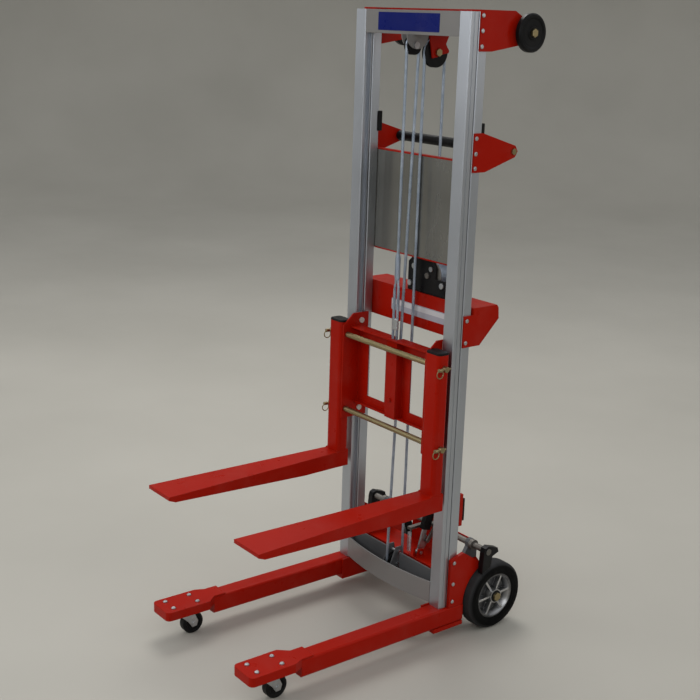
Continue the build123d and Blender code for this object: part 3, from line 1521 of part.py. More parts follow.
def bar_x(y0, z0, y1, z1, half, x0, x1):
    length = math.hypot(y1 - y0, z1 - z0)
    across_y = -(z1 - z0) / length * half
    across_z = (y1 - y0) / length * half
    return plate_x([
        (y0 + across_y, z0 + across_z), (y1 + across_y, z1 + across_z),
        (y1 - across_y, z1 - across_z), (y0 - across_y, z0 - across_z),
    ], x0, x1)


arm_x0 = spring_x - spring_arm_left
arm_x1 = spring_x + spring_arm_right
brake_shaft = rod_x(-brake_shaft_half, brake_shaft_half, brake_y, brake_z, brake_shaft_radius)
for side_sign in (-1, 1):
    x0, x1 = sorted((side_sign * collar_inner, side_sign * collar_outer))
    brake_shaft += rod_x(x0, x1, brake_y, brake_z, brake_collar_radius)
brake_shaft += box(
    arm_x0, arm_x1, spring_y - spring_arm_end, brake_y, brake_z - spring_arm_half, brake_z + spring_arm_half,
)
brake_shaft += bar_x(brake_y, brake_z, link_pin_y, link_pin_z, finger_half, finger_x0, finger_x1)
brake_shaft += rod_x(finger_x0, finger_x1, link_pin_y, link_pin_z, finger_half)
brake_shaft += rod_x(lever_x - lever_half - lever_pin_end, finger_x1, link_pin_y, link_pin_z, link_pin_radius)
nodes["brake_shaft"] = brake_shaft

# Brake shoes, resting just off the tyres
shoe_outer_x = shoe_inner_x + shoe_width
shoe = plate_x([
    (brake_y - shoe_back, brake_z), (brake_y - shoe_brow, brake_z + shoe_brow),
    (brake_y, brake_z + shoe_crown), (brake_y + shoe_horn, brake_z + shoe_horn_rise),
    (brake_y + shoe_tip, brake_z - shoe_tip_drop),
    (brake_y + shoe_neck, brake_z - shoe_neck), (brake_y + shoe_heel, brake_z - shoe_heel_drop),
    (brake_y - shoe_toe, brake_z - shoe_toe_drop), (brake_y - shoe_waist, brake_z - shoe_waist_drop),
], shoe_inner_x, shoe_outer_x)
shoe -= rod_x(shoe_inner_x, shoe_outer_x, wheel_y, wheel_z, wheel_radius + shoe_gap)
shoe -= rod_x(shoe_inner_x, shoe_outer_x, brake_y, brake_z, brake_shaft_radius)
nodes["brake_shoes"] = both_sides(shoe)

# Brake lever with its pad
lever_top_y = lever_y + lever_top_run
lever_top_z = lever_z + lever_top_rise
lever_x0 = lever_x - lever_half
lever_x1 = lever_x + lever_half
slot_reach = link_pin_radius + link_slot_end
lever = bar_x(lever_y, lever_z, lever_top_y, lever_top_z, lever_half_width, lever_x0, lever_x1)
lever += rod_x(lever_x0, lever_x1, lever_y, lever_z, lever_boss_radius)
ear_tip = (lever_ear + slot_reach) / link_span
lever += bar_x(
    lever_y, lever_z, lever_y + link_y * ear_tip, lever_z + link_z * ear_tip,
    link_slot_half + link_slot_wall, lever_x0, lever_x1,
)
slot_low = (lever_ear - link_slot_play) / link_span
lever -= rod_x(lever_x0, lever_x1, lever_y + link_y * slot_low, lever_z + link_z * slot_low, link_slot_half)
lever -= bar_x(
    lever_y + link_y * slot_low, lever_z + link_z * slot_low,
    lever_y + link_y * ear_tip, lever_z + link_z * ear_tip, link_slot_half, lever_x0, lever_x1,
)
lever_pin_half = lug_reach + lever_pin_end
lever += rod_x(lever_x - lever_pin_half, lever_x + lever_pin_half, lever_y, lever_z, lever_pin_radius)
nodes["brake_lever"] = lever
lever_length = math.hypot(lever_top_y - lever_y, lever_top_z - lever_z)


def lever_point(distance):
    share = distance / lever_length
    return lever_y + (lever_top_y - lever_y) * share, lever_z + (lever_top_z - lever_z) * share


pad_start = lever_point(pad_low)
pad_end = lever_point(pad_high)
pad_x0 = lever_x0 - pad_wall
pad_x1 = lever_x1 + pad_wall
pad = bar_x(*pad_start, *pad_end, pad_half, pad_x0, pad_x1)
pad -= bar_x(*pad_start, lever_top_y, lever_top_z, lever_half_width, lever_x0, lever_x1)
nodes["brake_lever_pad"] = pad

# Brake return spring
spring_bottom = Vector(spring_x + spring_radius, spring_y, deck_top)
spring_top = Vector(spring_x + spring_radius, spring_y, brake_z - spring_arm_half)
coil_start = deck_top + spring_tail
coil_end = brake_z - spring_arm_half - spring_tail
coil_pitch = (coil_end - coil_start) / spring_turns


def coil_point(turn):
    angle = math.radians(360 * turn)
    return Vector(
        spring_x + spring_radius * math.cos(angle), spring_y + spring_radius * math.sin(angle),
        coil_start + coil_pitch * turn,
    )


def coil_way(turn):
    angle = math.radians(360 * turn)
    around = 2 * math.pi * spring_radius
    return Vector(-around * math.sin(angle), around * math.cos(angle), coil_pitch).normalized()


spring_edges = [Line(spring_bottom, coil_point(0))]
coil_arc_count = int(spring_turns * turn_arc_count)
for i in range(coil_arc_count):
    first = spring_turns * i / coil_arc_count
    last = spring_turns * (i + 1) / coil_arc_count
    first_way = coil_way(first) if i > 0 else up
    last_way = coil_way(last) if i < coil_arc_count - 1 else up
    spring_edges += biarc(coil_point(first), first_way, coil_point(last), last_way)
spring_edges.append(Line(coil_point(spring_turns), spring_top))
brake_spring = tube_along(spring_edges, spring_wire)
nodes["brake_spring"] = brake_spring
report_tube("brake_spring", brake_spring, spring_edges, spring_wire)
least_self_gap("brake_spring", spring_edges, spring_wire, math.pi * spring_radius)

# Fastener groups
all_small = list(winch_bolts)
for item in small_bolts:
    all_small += both_sides(item)
nodes["frame_bolts"] = all_small
all_large = [sheave_bolt]
for item in large_bolts:
    all_large += both_sides(item)
nodes["axle_bolts"] = all_large

# Shift so that the origin is under the middle of the machine, then write one file per piece
for name, shape in nodes.items():
    solids = []
    group = shape if isinstance(shape, list) else [shape]
    for member in group:
        solids += [solid.moved(Location((0, centre_y, 0))) for solid in member.solids()]
    piece = solids[0] if len(solids) == 1 else Compound(solids)
    export_step(piece, f"parts/{name}.step")
print(len(nodes), "nodes written")
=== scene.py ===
import math

import bmesh
import bpy
from mathutils import Matrix, Vector


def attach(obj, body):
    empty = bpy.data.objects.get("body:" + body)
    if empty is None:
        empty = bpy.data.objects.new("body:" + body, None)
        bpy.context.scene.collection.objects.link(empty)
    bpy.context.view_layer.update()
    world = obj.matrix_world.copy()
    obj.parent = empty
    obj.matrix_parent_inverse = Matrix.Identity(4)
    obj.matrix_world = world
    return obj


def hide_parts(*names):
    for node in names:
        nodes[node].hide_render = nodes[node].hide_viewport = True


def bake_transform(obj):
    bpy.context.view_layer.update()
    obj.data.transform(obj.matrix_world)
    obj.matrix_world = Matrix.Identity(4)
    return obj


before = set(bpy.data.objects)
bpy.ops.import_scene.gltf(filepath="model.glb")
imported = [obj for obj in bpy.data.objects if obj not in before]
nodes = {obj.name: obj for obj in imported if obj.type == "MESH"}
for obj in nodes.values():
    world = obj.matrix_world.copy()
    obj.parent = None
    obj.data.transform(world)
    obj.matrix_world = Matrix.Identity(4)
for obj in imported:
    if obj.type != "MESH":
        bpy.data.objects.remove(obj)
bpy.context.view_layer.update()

# Lengths are in millimetres, with Y from the mast's front face, as in the part's source
# The floor, the lights and the camera's reach, near the end, are in metres
# The frame's origin is under the middle of the machine, this far in front of the mast's face
centre_y = 175.5
millimetre = 0.001


def at(x, y, z):
    """A place in the frame, in metres."""
    return Vector((x, y + centre_y, z)) * millimetre


# Camera, with its focus and the picture's width in pixels
camera_place = at(2514.0, -2141.0, 1694.0)
camera_yaw = math.radians(51.83)
camera_rise = math.radians(15.26)
camera_roll = math.radians(1.84)
camera_focus = 1223.0
image_width = 700.0
sensor_width = 36.0

# Cable: on the drum it is thinner by the wound share, and it swells where the fall leaves the drum
cable_radius = 4.2
cable_lay = 54.0
cable_step = 3.0
strand_count = 6
strand_sides = 5
wound_share = 0.66
swell_start = 0.72
swell_rate = 4.0

# Cable route: the winding's step is in degrees
drum_x = 38.0
drum_z = 1010.0
winding_radius = 38.0
winding_turns = 7.5
winding_front = 83.0
winding_lead = 5.0
winding_step = 5.0
top_sheave_y = 90.5
top_sheave_z = 1608.0
top_sheave_radius = 35.5
drop_y = 55.0
fall_y = 126.0
foot_sheave_y = 26.0
foot_sheave_z = 147.0
foot_sheave_radius = 29.0
inner_sheave_y = 13.0
inner_sheave_z = 1626.0
inner_sheave_radius = 21.0
cable_front_y = -8.0

# Cable end on the carriage: a splice, then two legs that part and run down to the eye round the anchor
splice_bottom = 995.0
splice_top = 1073.0
splice_overlap = 3.0
splice_radius = 8.0
splice_lay = 46.0
splice_top_share = 0.42
splice_top_rate = 3.2
splice_foot_share = 0.78
splice_foot_rate = 1.6
strand_offset = 8.0
leg_start = 3.4
leg_overlap = 6.0
leg_first_step = 1.2
leg_last_step = 1.0
leg_spread = 24.0
leg_bend_share = 0.6
anchor_z = 655.0
eye_steps = 12

# Ferrule: its profile gives its size along its height, with two pressed grooves
ferrule_bottom = 858.0
ferrule_top = 890.0
ferrule_half_width = 12.5
ferrule_half_depth = 5.0
ferrule_roundness = 0.98
ferrule_profile = (
    (0.0, 0.86), (0.04, 0.96), (0.10, 1.0), (0.26, 1.0), (0.30, 0.94), (0.36, 0.94), (0.40, 1.0),
    (0.60, 1.0), (0.64, 0.94), (0.70, 0.94), (0.74, 1.0), (0.90, 1.0), (0.96, 0.96), (1.0, 0.86),
)

# Rear wheels: the rim's web lies deeper than its spokes, and the lip stands round both
wheel_y = 189.0
wheel_z = 100.0
rim_web_x = 241.0
rim_spoke_x = 256.0
rim_lip_start = 59.0
rim_lip_end = 63.0
tread_start = 89.0
tread_end = 97.0

# Hub bushes on the rear wheels
hub_face = 264.0
bush_radius = 17.5
bush_bore = 10.0
bush_height = 1.5
bush_ease_along = 0.5
bush_ease_across = 0.7

# Brake spring
spring_x = 5.0
spring_y = 77.0
spring_bottom = 160.0
spring_top = 242.0
spring_radius = 5.5
spring_wire = 0.8
spring_turns = 15
spring_tail = 10.0
spring_step = 2.5
coil_sides = 18

# Plain plates on the top beam and the console, and the band on the console's plate
beam_front = 1.5
beam_plate_x = -10.0
beam_plate_z = 1684.5
beam_plate_size = (247.0, 47.0)
console_front = 64.0
console_plate_x = 23.0
console_plate_z = 904.5
console_plate_size = (254.0, 33.0)
console_plate_depth = 0.8
band_z = 911.5
band_size = (250.0, 14.0)

# Red edging on the guard panel
panel_front = 60.0
panel_flange_back = 75.0
panel_top = 1338.0
panel_bottom = 1055.0
trim_half = 186.5
trim_lip = 3.0
trim_skin = 0.7

# Foam sleeve on the push bar: a collar at each end and fine grooves between
bar_y = 173.0
bar_z = 1366.0
sleeve_bore = 12.6
sleeve_radius = 13.7
sleeve_half = 226.0
collar_radius = 15.0
collar_length = 9.0
collar_foot = 11.0
collar_ease_along = 1.5
collar_ease_across = 0.8
groove_pitch = 6.0
groove_half_top = 1.4
groove_half_floor = 0.8
groove_depth = 0.35

# Rubber pads behind the outer columns: one each high up, and one on a red packer low on the right
column_in = 187.5
column_out = 229.5
column_back = 60.0
pad_gap = 0.1
pad_overhang = 2.5
pad_inset = 0.5
pad_ease = 1.2
pad_high_back = 70.5
pad_high_z = (1386.0, 1441.0)
pad_lip_gap = 0.2
pad_lip_ease = 0.6
pad_lip_y = (54.0, 64.0)
packer_inset = 6.0
packer_ease = 1.0
packer_back = 72.0
packer_z = (334.0, 428.0)
pad_low_back = 79.0
pad_low_z = (348.0, 414.0)

# Strap behind the brake shaft
strap_x = (-190.0, 190.0)
strap_y = (173.0, 176.5)
strap_z = (236.0, 246.0)
strap_ease = 0.6

# A way that no path starts along, for the first ring on it
ring_normal = (1, 0.01, 0.02)


# Mesh helpers
def new_piece(name, points, faces, material, smooth=True, outward=True):
    mesh = bpy.data.meshes.new(name)
    mesh.from_pydata([tuple(point) for point in points], [], faces)
    mesh.validate()
    if outward:
        shell = bmesh.new()
        shell.from_mesh(mesh)
        bmesh.ops.recalc_face_normals(shell, faces=shell.faces)
        shell.to_mesh(mesh)
        shell.free()
    mesh.materials.append(material)
    if smooth:
        mesh.polygons.foreach_set("use_smooth", [True] * len(mesh.polygons))
    piece = bpy.data.objects.new(name, mesh)
    bpy.context.scene.collection.objects.link(piece)
    return piece


def line(start, end, step):
    count = max(1, round((end - start).length / (step * millimetre)))
    return [start.lerp(end, i / count) for i in range(count + 1)]


def arc(centre, radius, start, end, step):
    """Points on a circle whose axis runs across the machine, by angle from +Y towards +Z."""
    count = max(2, round(abs(math.radians(end - start)) * radius / step))
    points = []
    for i in range(count + 1):
        angle = math.radians(start + (end - start) * i / count)
        offset = Vector((0, radius * math.cos(angle), radius * math.sin(angle)))
        points.append(centre + offset * millimetre)
    return points


def joined(*runs):
    """Runs of points as one, where each starts on the last point of the one before."""
    points = list(runs[0])
    for run in runs[1:]:
        points += run[1:]
    return points


def rings_along(points, sections):
    """One ring of points round each place on a path, turned with it.

    For the number of a place, sections gives a list of angles and radii.
    """
    rings = []
    normal = Vector(ring_normal)
    last_way = None
    for i, point in enumerate(points):
        before = points[max(0, i - 1)]
        after = points[min(len(points) - 1, i + 1)]
        way = (after - before).normalized()
        if last_way is not None:
            normal = last_way.rotation_difference(way) @ normal
        normal = (normal - way * normal.dot(way)).normalized()
        across = way.cross(normal)
        ring = []
        for angle, radius in sections(i):
            ring.append(point + (normal * math.cos(angle) + across * math.sin(angle)) * radius * millimetre)
        rings.append(ring)
        last_way = way
    return rings


def skin(rings, closed_ends=True):
    """Points and faces of a tube through the rings."""
    count = len(rings[0])
    points = [point for ring in rings for point in ring]
    faces = []
    for i in range(len(rings) - 1):
        for k in range(count):
            here = i * count + k
            beside = i * count + (k + 1) % count
            faces.append((here, beside, beside + count, here + count))
    if closed_ends:
        faces.append(tuple(range(count - 1, -1, -1)))
        last = (len(rings) - 1) * count
        faces.append(tuple(range(last, last + count)))
    return points, faces


def strand_shape(angle):
    """Outline radius of strands round a core, as a share of the rope's radius."""
    sector = 2 * math.pi / strand_count
    off = (angle + sector / 2) % sector - sector / 2
    ring = 2 / 3
    small = 1 / 3
    return ring * math.cos(off) + math.sqrt(max(0, small ** 2 - (ring * math.sin(off)) ** 2))


def rope(name, points, material, radius=cable_radius, lay=cable_lay, taper=None):
    """Strands laid round a core. The attribute crown is 1 on top of a strand and 0 between two."""
    travelled = [0.0]
    for before, after in zip(points, points[1:]):
        travelled.append(travelled[-1] + (after - before).length / millimetre)
    count = strand_count * strand_sides

    def section(i):
        twist = 2 * math.pi * travelled[i] / lay
        wide = radius * (taper(travelled[i] / travelled[-1]) if taper else 1.0)
        shape = []
        for k in range(count):
            angle = 2 * math.pi * k / count
            shape.append((angle + twist, wide * strand_shape(angle)))
        return shape

    piece = new_piece(name, *skin(rings_along(points, section)), material)
    valley = strand_shape(math.pi / strand_count)
    crowns = [(strand_shape(2 * math.pi * k / count) - valley) / (1 - valley) for k in range(count)]
    height = piece.data.attributes.new("crown", "FLOAT", "POINT")
    height.data.foreach_set("value", crowns * len(points))
    return piece


def wire(name, points, radius, material, sides=10):
    shape = [(2 * math.pi * k / sides, radius) for k in range(sides)]
    return new_piece(name, *skin(rings_along(points, lambda i: shape)), material)


def rounded(width, height, radius, steps=5):
    """A rectangle with round corners about its middle."""
    points = []
    for side_x, side_y, start in ((1, 1, 0), (-1, 1, 90), (-1, -1, 180), (1, -1, 270)):
        for i in range(steps + 1):
            angle = math.radians(start + 90 * i / steps)
            points.append((
                side_x * (width / 2 - radius) + radius * math.cos(angle),
                side_y * (height / 2 - radius) + radius * math.sin(angle),
            ))
    return points


def panel(name, middle, size, radius, depth, edge, material):
    """A thin plate towards the front, with round corners and an eased edge, proud of middle by depth."""
    near_edge = 0.3 * edge
    rings = []
    for inset, rise in ((0, 0), (0, depth - edge), (near_edge, depth - near_edge), (edge, depth)):
        flat = rounded(size[0] - 2 * inset, size[1] - 2 * inset, radius - inset / 2)
        rings.append([middle + Vector((x, -rise, z)) * millimetre for x, z in flat])
    return new_piece(name, *skin(rings), material, smooth=False)


def extruded(name, outline, x_start, x_end, material):
    """A section in Y and Z drawn along X."""
    rings = []
    for x in (x_start, x_end):
        rings.append([at(x, y, z) for y, z in outline])
    return new_piece(name, *skin(rings), material, smooth=False)


def turned_x(name, profile, y, z, side, material, sides=64):
    """A profile of places along X and radii, turned about an axis across the machine."""
    rings = []
    for x, radius in profile:
        ring = []
        for k in range(sides):
            angle = 2 * math.pi * k / sides
            ring.append(at(side * x, y + radius * math.cos(angle), z + radius * math.sin(angle)))
        rings.append(ring)
    return new_piece(name, *skin(rings, closed_ends=False), material)


def block(name, x, y, z, ease, material, body):
    """A block with eased edges between two places on each axis."""
    middle = [(low + high) / 2 for low, high in (x, y, z)]
    half = [(high - low) / 2 for low, high in (x, y, z)]
    least_corner = 0.3
    rings = []
    for inset, height in ((ease, -half[2]), (0, ease - half[2]), (0, half[2] - ease), (ease, half[2])):
        corner = max(least_corner, 2 * ease - inset)
        flat = rounded(2 * (half[0] - inset), 2 * (half[1] - inset), corner)
        rings.append([at(middle[0] + px, middle[1] + py, middle[2] + height) for px, py in flat])
    piece = new_piece(name, *skin(rings), material, smooth=False)
    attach(piece, body)


# Materials: sockets of the mix node when it mixes colours
mix_share = 0
mix_first = 6
mix_second = 7
mix_result = 2

# Most of a noise lies between these
noise_low = 0.3
noise_high = 0.7

# The rounded normal's dot product with the true one, where an edge is full and where it ends
edge_full = 0.80
edge_end = 0.99
edge_samples = 4


class Finish:
    """A material with helpers for its nodes. Patterns follow the piece's own coordinates."""

    def __init__(self, name, metallic=0.0, shine=0.3):
        self.material = bpy.data.materials.new(name)
        self.material.use_nodes = True
        self.tree = self.material.node_tree
        self.tree.nodes.clear()
        self.shader = self.add("ShaderNodeBsdfPrincipled")
        output = self.add("ShaderNodeOutputMaterial")
        self.join(self.shader.outputs[0], output.inputs["Surface"])
        self.place = self.add("ShaderNodeTexCoord").outputs["Object"]
        self.shader.inputs["Metallic"].default_value = metallic
        self.shader.inputs["Specular IOR Level"].default_value = shine

    def add(self, kind):
        return self.tree.nodes.new(kind)

    def join(self, source, target):
        self.tree.links.new(source, target)

    def feed(self, value, target):
        """Joins a node's output to a socket, or sets a number or a colour on it."""
        if isinstance(value, bpy.types.NodeSocket):
            self.join(value, target)
        elif isinstance(value, float):
            target.default_value = value
        else:
            target.default_value = (*value, 1.0)

    def noise(self, scale, detail, stretch=(1, 1, 1)):
        mapping = self.add("ShaderNodeMapping")
        mapping.inputs["Scale"].default_value = stretch
        self.join(self.place, mapping.inputs["Vector"])
        node = self.add("ShaderNodeTexNoise")
        node.inputs["Scale"].default_value = scale
        node.inputs["Detail"].default_value = detail
        self.join(mapping.outputs["Vector"], node.inputs["Vector"])
        return node.outputs["Fac"]

    def level(self, source, low, high, start=noise_low, end=noise_high):
        """Low where the source is at start, high where it is at end."""
        node = self.add("ShaderNodeMapRange")
        node.inputs["From Min"].default_value = start
        node.inputs["From Max"].default_value = end
        node.inputs["To Min"].default_value = low
        node.inputs["To Max"].default_value = high
        self.join(source, node.inputs["Value"])
        return node.outputs["Result"]

    def patches(self, scale, detail, start=noise_low, end=noise_high):
        """Soft patches between 0 and 1."""
        return self.level(self.noise(scale, detail), 0.0, 1.0, start, end)

    def mixed(self, share, first, second):
        node = self.add("ShaderNodeMix")
        node.data_type = "RGBA"
        self.feed(share, node.inputs[mix_share])
        self.feed(first, node.inputs[mix_first])
        self.feed(second, node.inputs[mix_second])
        return node.outputs[mix_result]

    def times(self, first, second):
        node = self.add("ShaderNodeMath")
        node.operation = "MULTIPLY"
        self.feed(first, node.inputs[0])
        self.feed(second, node.inputs[1])
        return node.outputs[0]

    def vector_math(self, operation, first):
        node = self.add("ShaderNodeVectorMath")
        node.operation = operation
        self.join(first, node.inputs[0])
        return node

    def from_axle(self):
        """Distance from the axis that the two rear wheels share."""
        offset = self.vector_math("SUBTRACT", self.place)
        offset.inputs[1].default_value = at(0, wheel_y, wheel_z)
        flat = self.vector_math("MULTIPLY", offset.outputs["Vector"])
        flat.inputs[1].default_value = (0, 1, 1)
        return self.vector_math("LENGTH", flat.outputs["Vector"]).outputs["Value"]

    def soft_edges(self, radius):
        """A normal that rounds sharp edges, and a mask that is 1 on them."""
        bevel = self.add("ShaderNodeBevel")
        bevel.samples = edge_samples
        bevel.inputs["Radius"].default_value = radius * millimetre
        geometry = self.add("ShaderNodeNewGeometry")
        facing = self.vector_math("DOT_PRODUCT", bevel.outputs["Normal"])
        self.join(geometry.outputs["Normal"], facing.inputs[1])
        return bevel.outputs["Normal"], self.level(facing.outputs["Value"], 1.0, 0.0, edge_full, edge_end)

    def bump(self, height, strength, depth, normal=None):
        node = self.add("ShaderNodeBump")
        node.inputs["Strength"].default_value = strength
        node.inputs["Distance"].default_value = depth * millimetre
        self.join(height, node.inputs["Height"])
        if normal is not None:
            self.join(normal, node.inputs["Normal"])
        return node.outputs["Normal"]

    def set(self, colour, roughness, normal):
        self.join(colour, self.shader.inputs["Base Color"])
        self.join(roughness, self.shader.inputs["Roughness"])
        self.join(normal, self.shader.inputs["Normal"])
        return self.material


# Tones that belong to a kind of finish, with painted edge highlights and painted shade for rope valleys and
# rim hollows
dust_tone = (0.42, 0.36, 0.30)
# Painted highlight for the edges of drawn metal
metal_edge_highlight = (0.82, 0.83, 0.85)
# Painted highlight for the edges of plated parts
plated_edge_highlight = (0.92, 0.90, 0.84)
rope_deep = (0.34, 0.41, 0.51)
rope_pale = (0.62, 0.70, 0.80)
rope_lines = (0.16, 0.19, 0.24)
# Painted shade for the valleys between a rope's strands
rope_valley_shade = (0.030, 0.038, 0.050)
# Painted shade for the rim's hollows, also used on its lip
rim_hollow_shade_deep = (0.085, 0.085, 0.09)
rim_hollow_shade_pale = (0.15, 0.15, 0.155)
rim_spoke_deep = (0.40, 0.40, 0.405)
rim_spoke_pale = (0.56, 0.56, 0.56)
# Painted highlight for the rim's edges
rim_edge_highlight = (0.86, 0.86, 0.86)


def painted(name, colour, deep, worn_and_highlit, rough, edge=2.2, shine=0.25, peel=0.08, wear_and_highlight=0.25):
    """Powder coat: slow tone shifts, a fine orange-peel skin, edges paled by wear and a painted highlight,
    a little dust.
    """
    finish = Finish(name, shine=shine)
    normal, edges = finish.soft_edges(edge)
    tone = finish.mixed(finish.patches(scale=3.0, detail=3.0), deep, colour)
    # Edges painted paler, partly as wear and partly as a painted highlight along them
    rubbed_and_lit_edges = finish.times(edges, finish.level(finish.noise(scale=38.0, detail=5.0), low=0.2, high=1.0))
    tone = finish.mixed(finish.times(rubbed_and_lit_edges, wear_and_highlight), tone, worn_and_highlit)
    dust_share = 0.035
    dust = finish.times(finish.patches(scale=13.0, detail=6.0, start=0.5, end=0.8), dust_share)
    tone = finish.mixed(dust, tone, dust_tone)
    roughness = finish.level(finish.noise(scale=20.0, detail=4.0), *rough)
    orange_peel = finish.bump(finish.noise(scale=620.0, detail=2.0), peel, depth=0.10, normal=normal)
    return finish.set(tone, roughness, orange_peel)


def drawn_metal(
    name, colour, deep, rough,
    along=(1, 1, 0.02), edge=0.8, fine=900.0, grain=0.12, metallic=1.0, streak=0.25,
):
    """Extruded or ground metal: fine lines along one way, broad soft patches, edges painted brighter as a
    highlight.
    """
    finish = Finish(name, metallic=metallic)
    normal, edges = finish.soft_edges(edge)
    lines = finish.noise(fine, detail=2.0, stretch=along)
    tone = finish.mixed(finish.patches(scale=5.0, detail=4.0), deep, colour)
    tone = finish.mixed(finish.times(finish.level(lines, 0.0, 1.0), streak), tone, deep)
    # Edges painted brighter as a highlight
    edge_highlight_share = 0.30
    tone = finish.mixed(finish.times(edges, edge_highlight_share), tone, metal_edge_highlight)
    smear = finish.noise(scale=9.0, detail=5.0, stretch=(1, 1, 0.3))
    roughness = finish.level(smear, *rough)
    return finish.set(tone, roughness, finish.bump(lines, grain, depth=0.05, normal=normal))


def plated(name, colour, second, rough, cells=120.0, edge=0.5):
    """Zinc plate: small spangled cells of two tints under a soft sheen, with edges painted brighter as a
    highlight.
    """
    finish = Finish(name, metallic=1.0)
    normal, edges = finish.soft_edges(edge)
    cell = finish.add("ShaderNodeTexVoronoi")
    cell.inputs["Scale"].default_value = cells
    finish.join(finish.place, cell.inputs["Vector"])
    tint = finish.level(cell.outputs["Distance"], low=0.0, high=0.6, start=0.0, end=0.9)
    tone = finish.mixed(tint, colour, second)
    patch_share = 0.5
    tone = finish.mixed(finish.times(finish.patches(scale=14.0, detail=5.0), patch_share), tone, second)
    # Edges painted brighter as a highlight
    edge_highlight_share = 0.25
    tone = finish.mixed(finish.times(edges, edge_highlight_share), tone, plated_edge_highlight)
    roughness = finish.level(finish.noise(scale=60.0, detail=4.0), *rough)
    pitted = finish.bump(finish.noise(scale=420.0, detail=3.0), strength=0.10, depth=0.06, normal=normal)
    return finish.set(tone, roughness, pitted)


def moulded(
    name, colour, dust_and_edge_highlight, rough,
    grain=900.0, depth=0.10, edge=0.8, dust=0.35, shine=0.12, tread=None,
):
    """Rubber or plastic: a fine grain, patches of dust, edges painted paler as a highlight, and a tyre's
    tread tone.
    """
    finish = Finish(name, shine=shine)
    normal, edges = finish.soft_edges(edge)
    patch = finish.times(finish.patches(scale=11.0, detail=6.0, start=0.42, end=0.72), dust)
    tone = finish.mixed(patch, colour, dust_and_edge_highlight)
    # Edges painted paler in the dust tone, as a highlight
    edge_highlight_share = 0.30
    tone = finish.mixed(finish.times(edges, edge_highlight_share), tone, dust_and_edge_highlight)
    if tread is not None:
        rolled = finish.level(
            finish.from_axle(), 0.0, 1.0, tread_start * millimetre, tread_end * millimetre,
        )
        scuffed = finish.level(finish.noise(scale=25.0, detail=5.0), low=0.55, high=0.95)
        tone = finish.mixed(finish.times(rolled, scuffed), tone, tread)
    roughness = finish.level(finish.noise(scale=45.0, detail=4.0), *rough)
    grained = finish.bump(finish.noise(grain, detail=2.0), strength=0.25, depth=depth, normal=normal)
    return finish.set(tone, roughness, grained)


def galvanised(name):
    """Wire rope: crowns in the rope's tone, valleys between strands painted dark as shade, and a tint that
    shifts along the rope.
    """
    finish = Finish(name, metallic=0.85)
    lines = finish.noise(scale=1500.0, detail=2.0, stretch=(1, 1, 0.25))
    tone = finish.mixed(finish.patches(scale=30.0, detail=5.0), rope_deep, rope_pale)
    line_share = 0.35
    tone = finish.mixed(finish.times(finish.level(lines, 0.0, 1.0), line_share), tone, rope_lines)
    # The valleys between strands are painted dark as shade, from the crown attribute
    crown = finish.add("ShaderNodeAttribute")
    crown.attribute_name = "crown"
    valley = finish.level(crown.outputs["Fac"], low=0.9, high=0.0, start=0.15, end=0.85)
    tone = finish.mixed(valley, tone, rope_valley_shade)
    roughness = finish.level(finish.noise(scale=90.0, detail=3.0), low=0.30, high=0.52)
    return finish.set(tone, roughness, finish.bump(lines, strength=0.30, depth=0.10))


def cast_rim(name):
    """Cast wheel: the hollows painted dark as shade, the lip as dark, and bright where the spokes are
    machined.
    """
    finish = Finish(name, metallic=1.0)
    normal, edges = finish.soft_edges(radius=1.2)
    parts = finish.add("ShaderNodeSeparateXYZ")
    finish.join(finish.place, parts.inputs["Vector"])
    side = finish.add("ShaderNodeMath")
    side.operation = "ABSOLUTE"
    finish.join(parts.outputs["X"], side.inputs[0])
    proud = finish.level(side.outputs[0], 0.0, 1.0, rim_web_x * millimetre, rim_spoke_x * millimetre)
    inside = finish.level(
        finish.from_axle(), 1.0, 0.0, rim_lip_start * millimetre, rim_lip_end * millimetre,
    )
    # The hollows are painted dark as shade; the lip takes the same dark tone
    hollow_shade = finish.mixed(finish.patches(scale=60.0, detail=5.0), rim_hollow_shade_deep, rim_hollow_shade_pale)
    machined = finish.mixed(finish.patches(scale=18.0, detail=4.0), rim_spoke_deep, rim_spoke_pale)
    tone = finish.mixed(finish.times(proud, inside), hollow_shade, machined)
    # Edges inside the lip painted bright as a highlight
    edge_highlight_share = 0.55
    tone = finish.mixed(finish.times(finish.times(edges, inside), edge_highlight_share), tone, rim_edge_highlight)
    roughness = finish.level(finish.noise(scale=45.0, detail=4.0), low=0.26, high=0.44)
    sandy = finish.bump(finish.noise(scale=340.0, detail=3.0), strength=0.14, depth=0.10, normal=normal)
    return finish.set(tone, roughness, sandy)


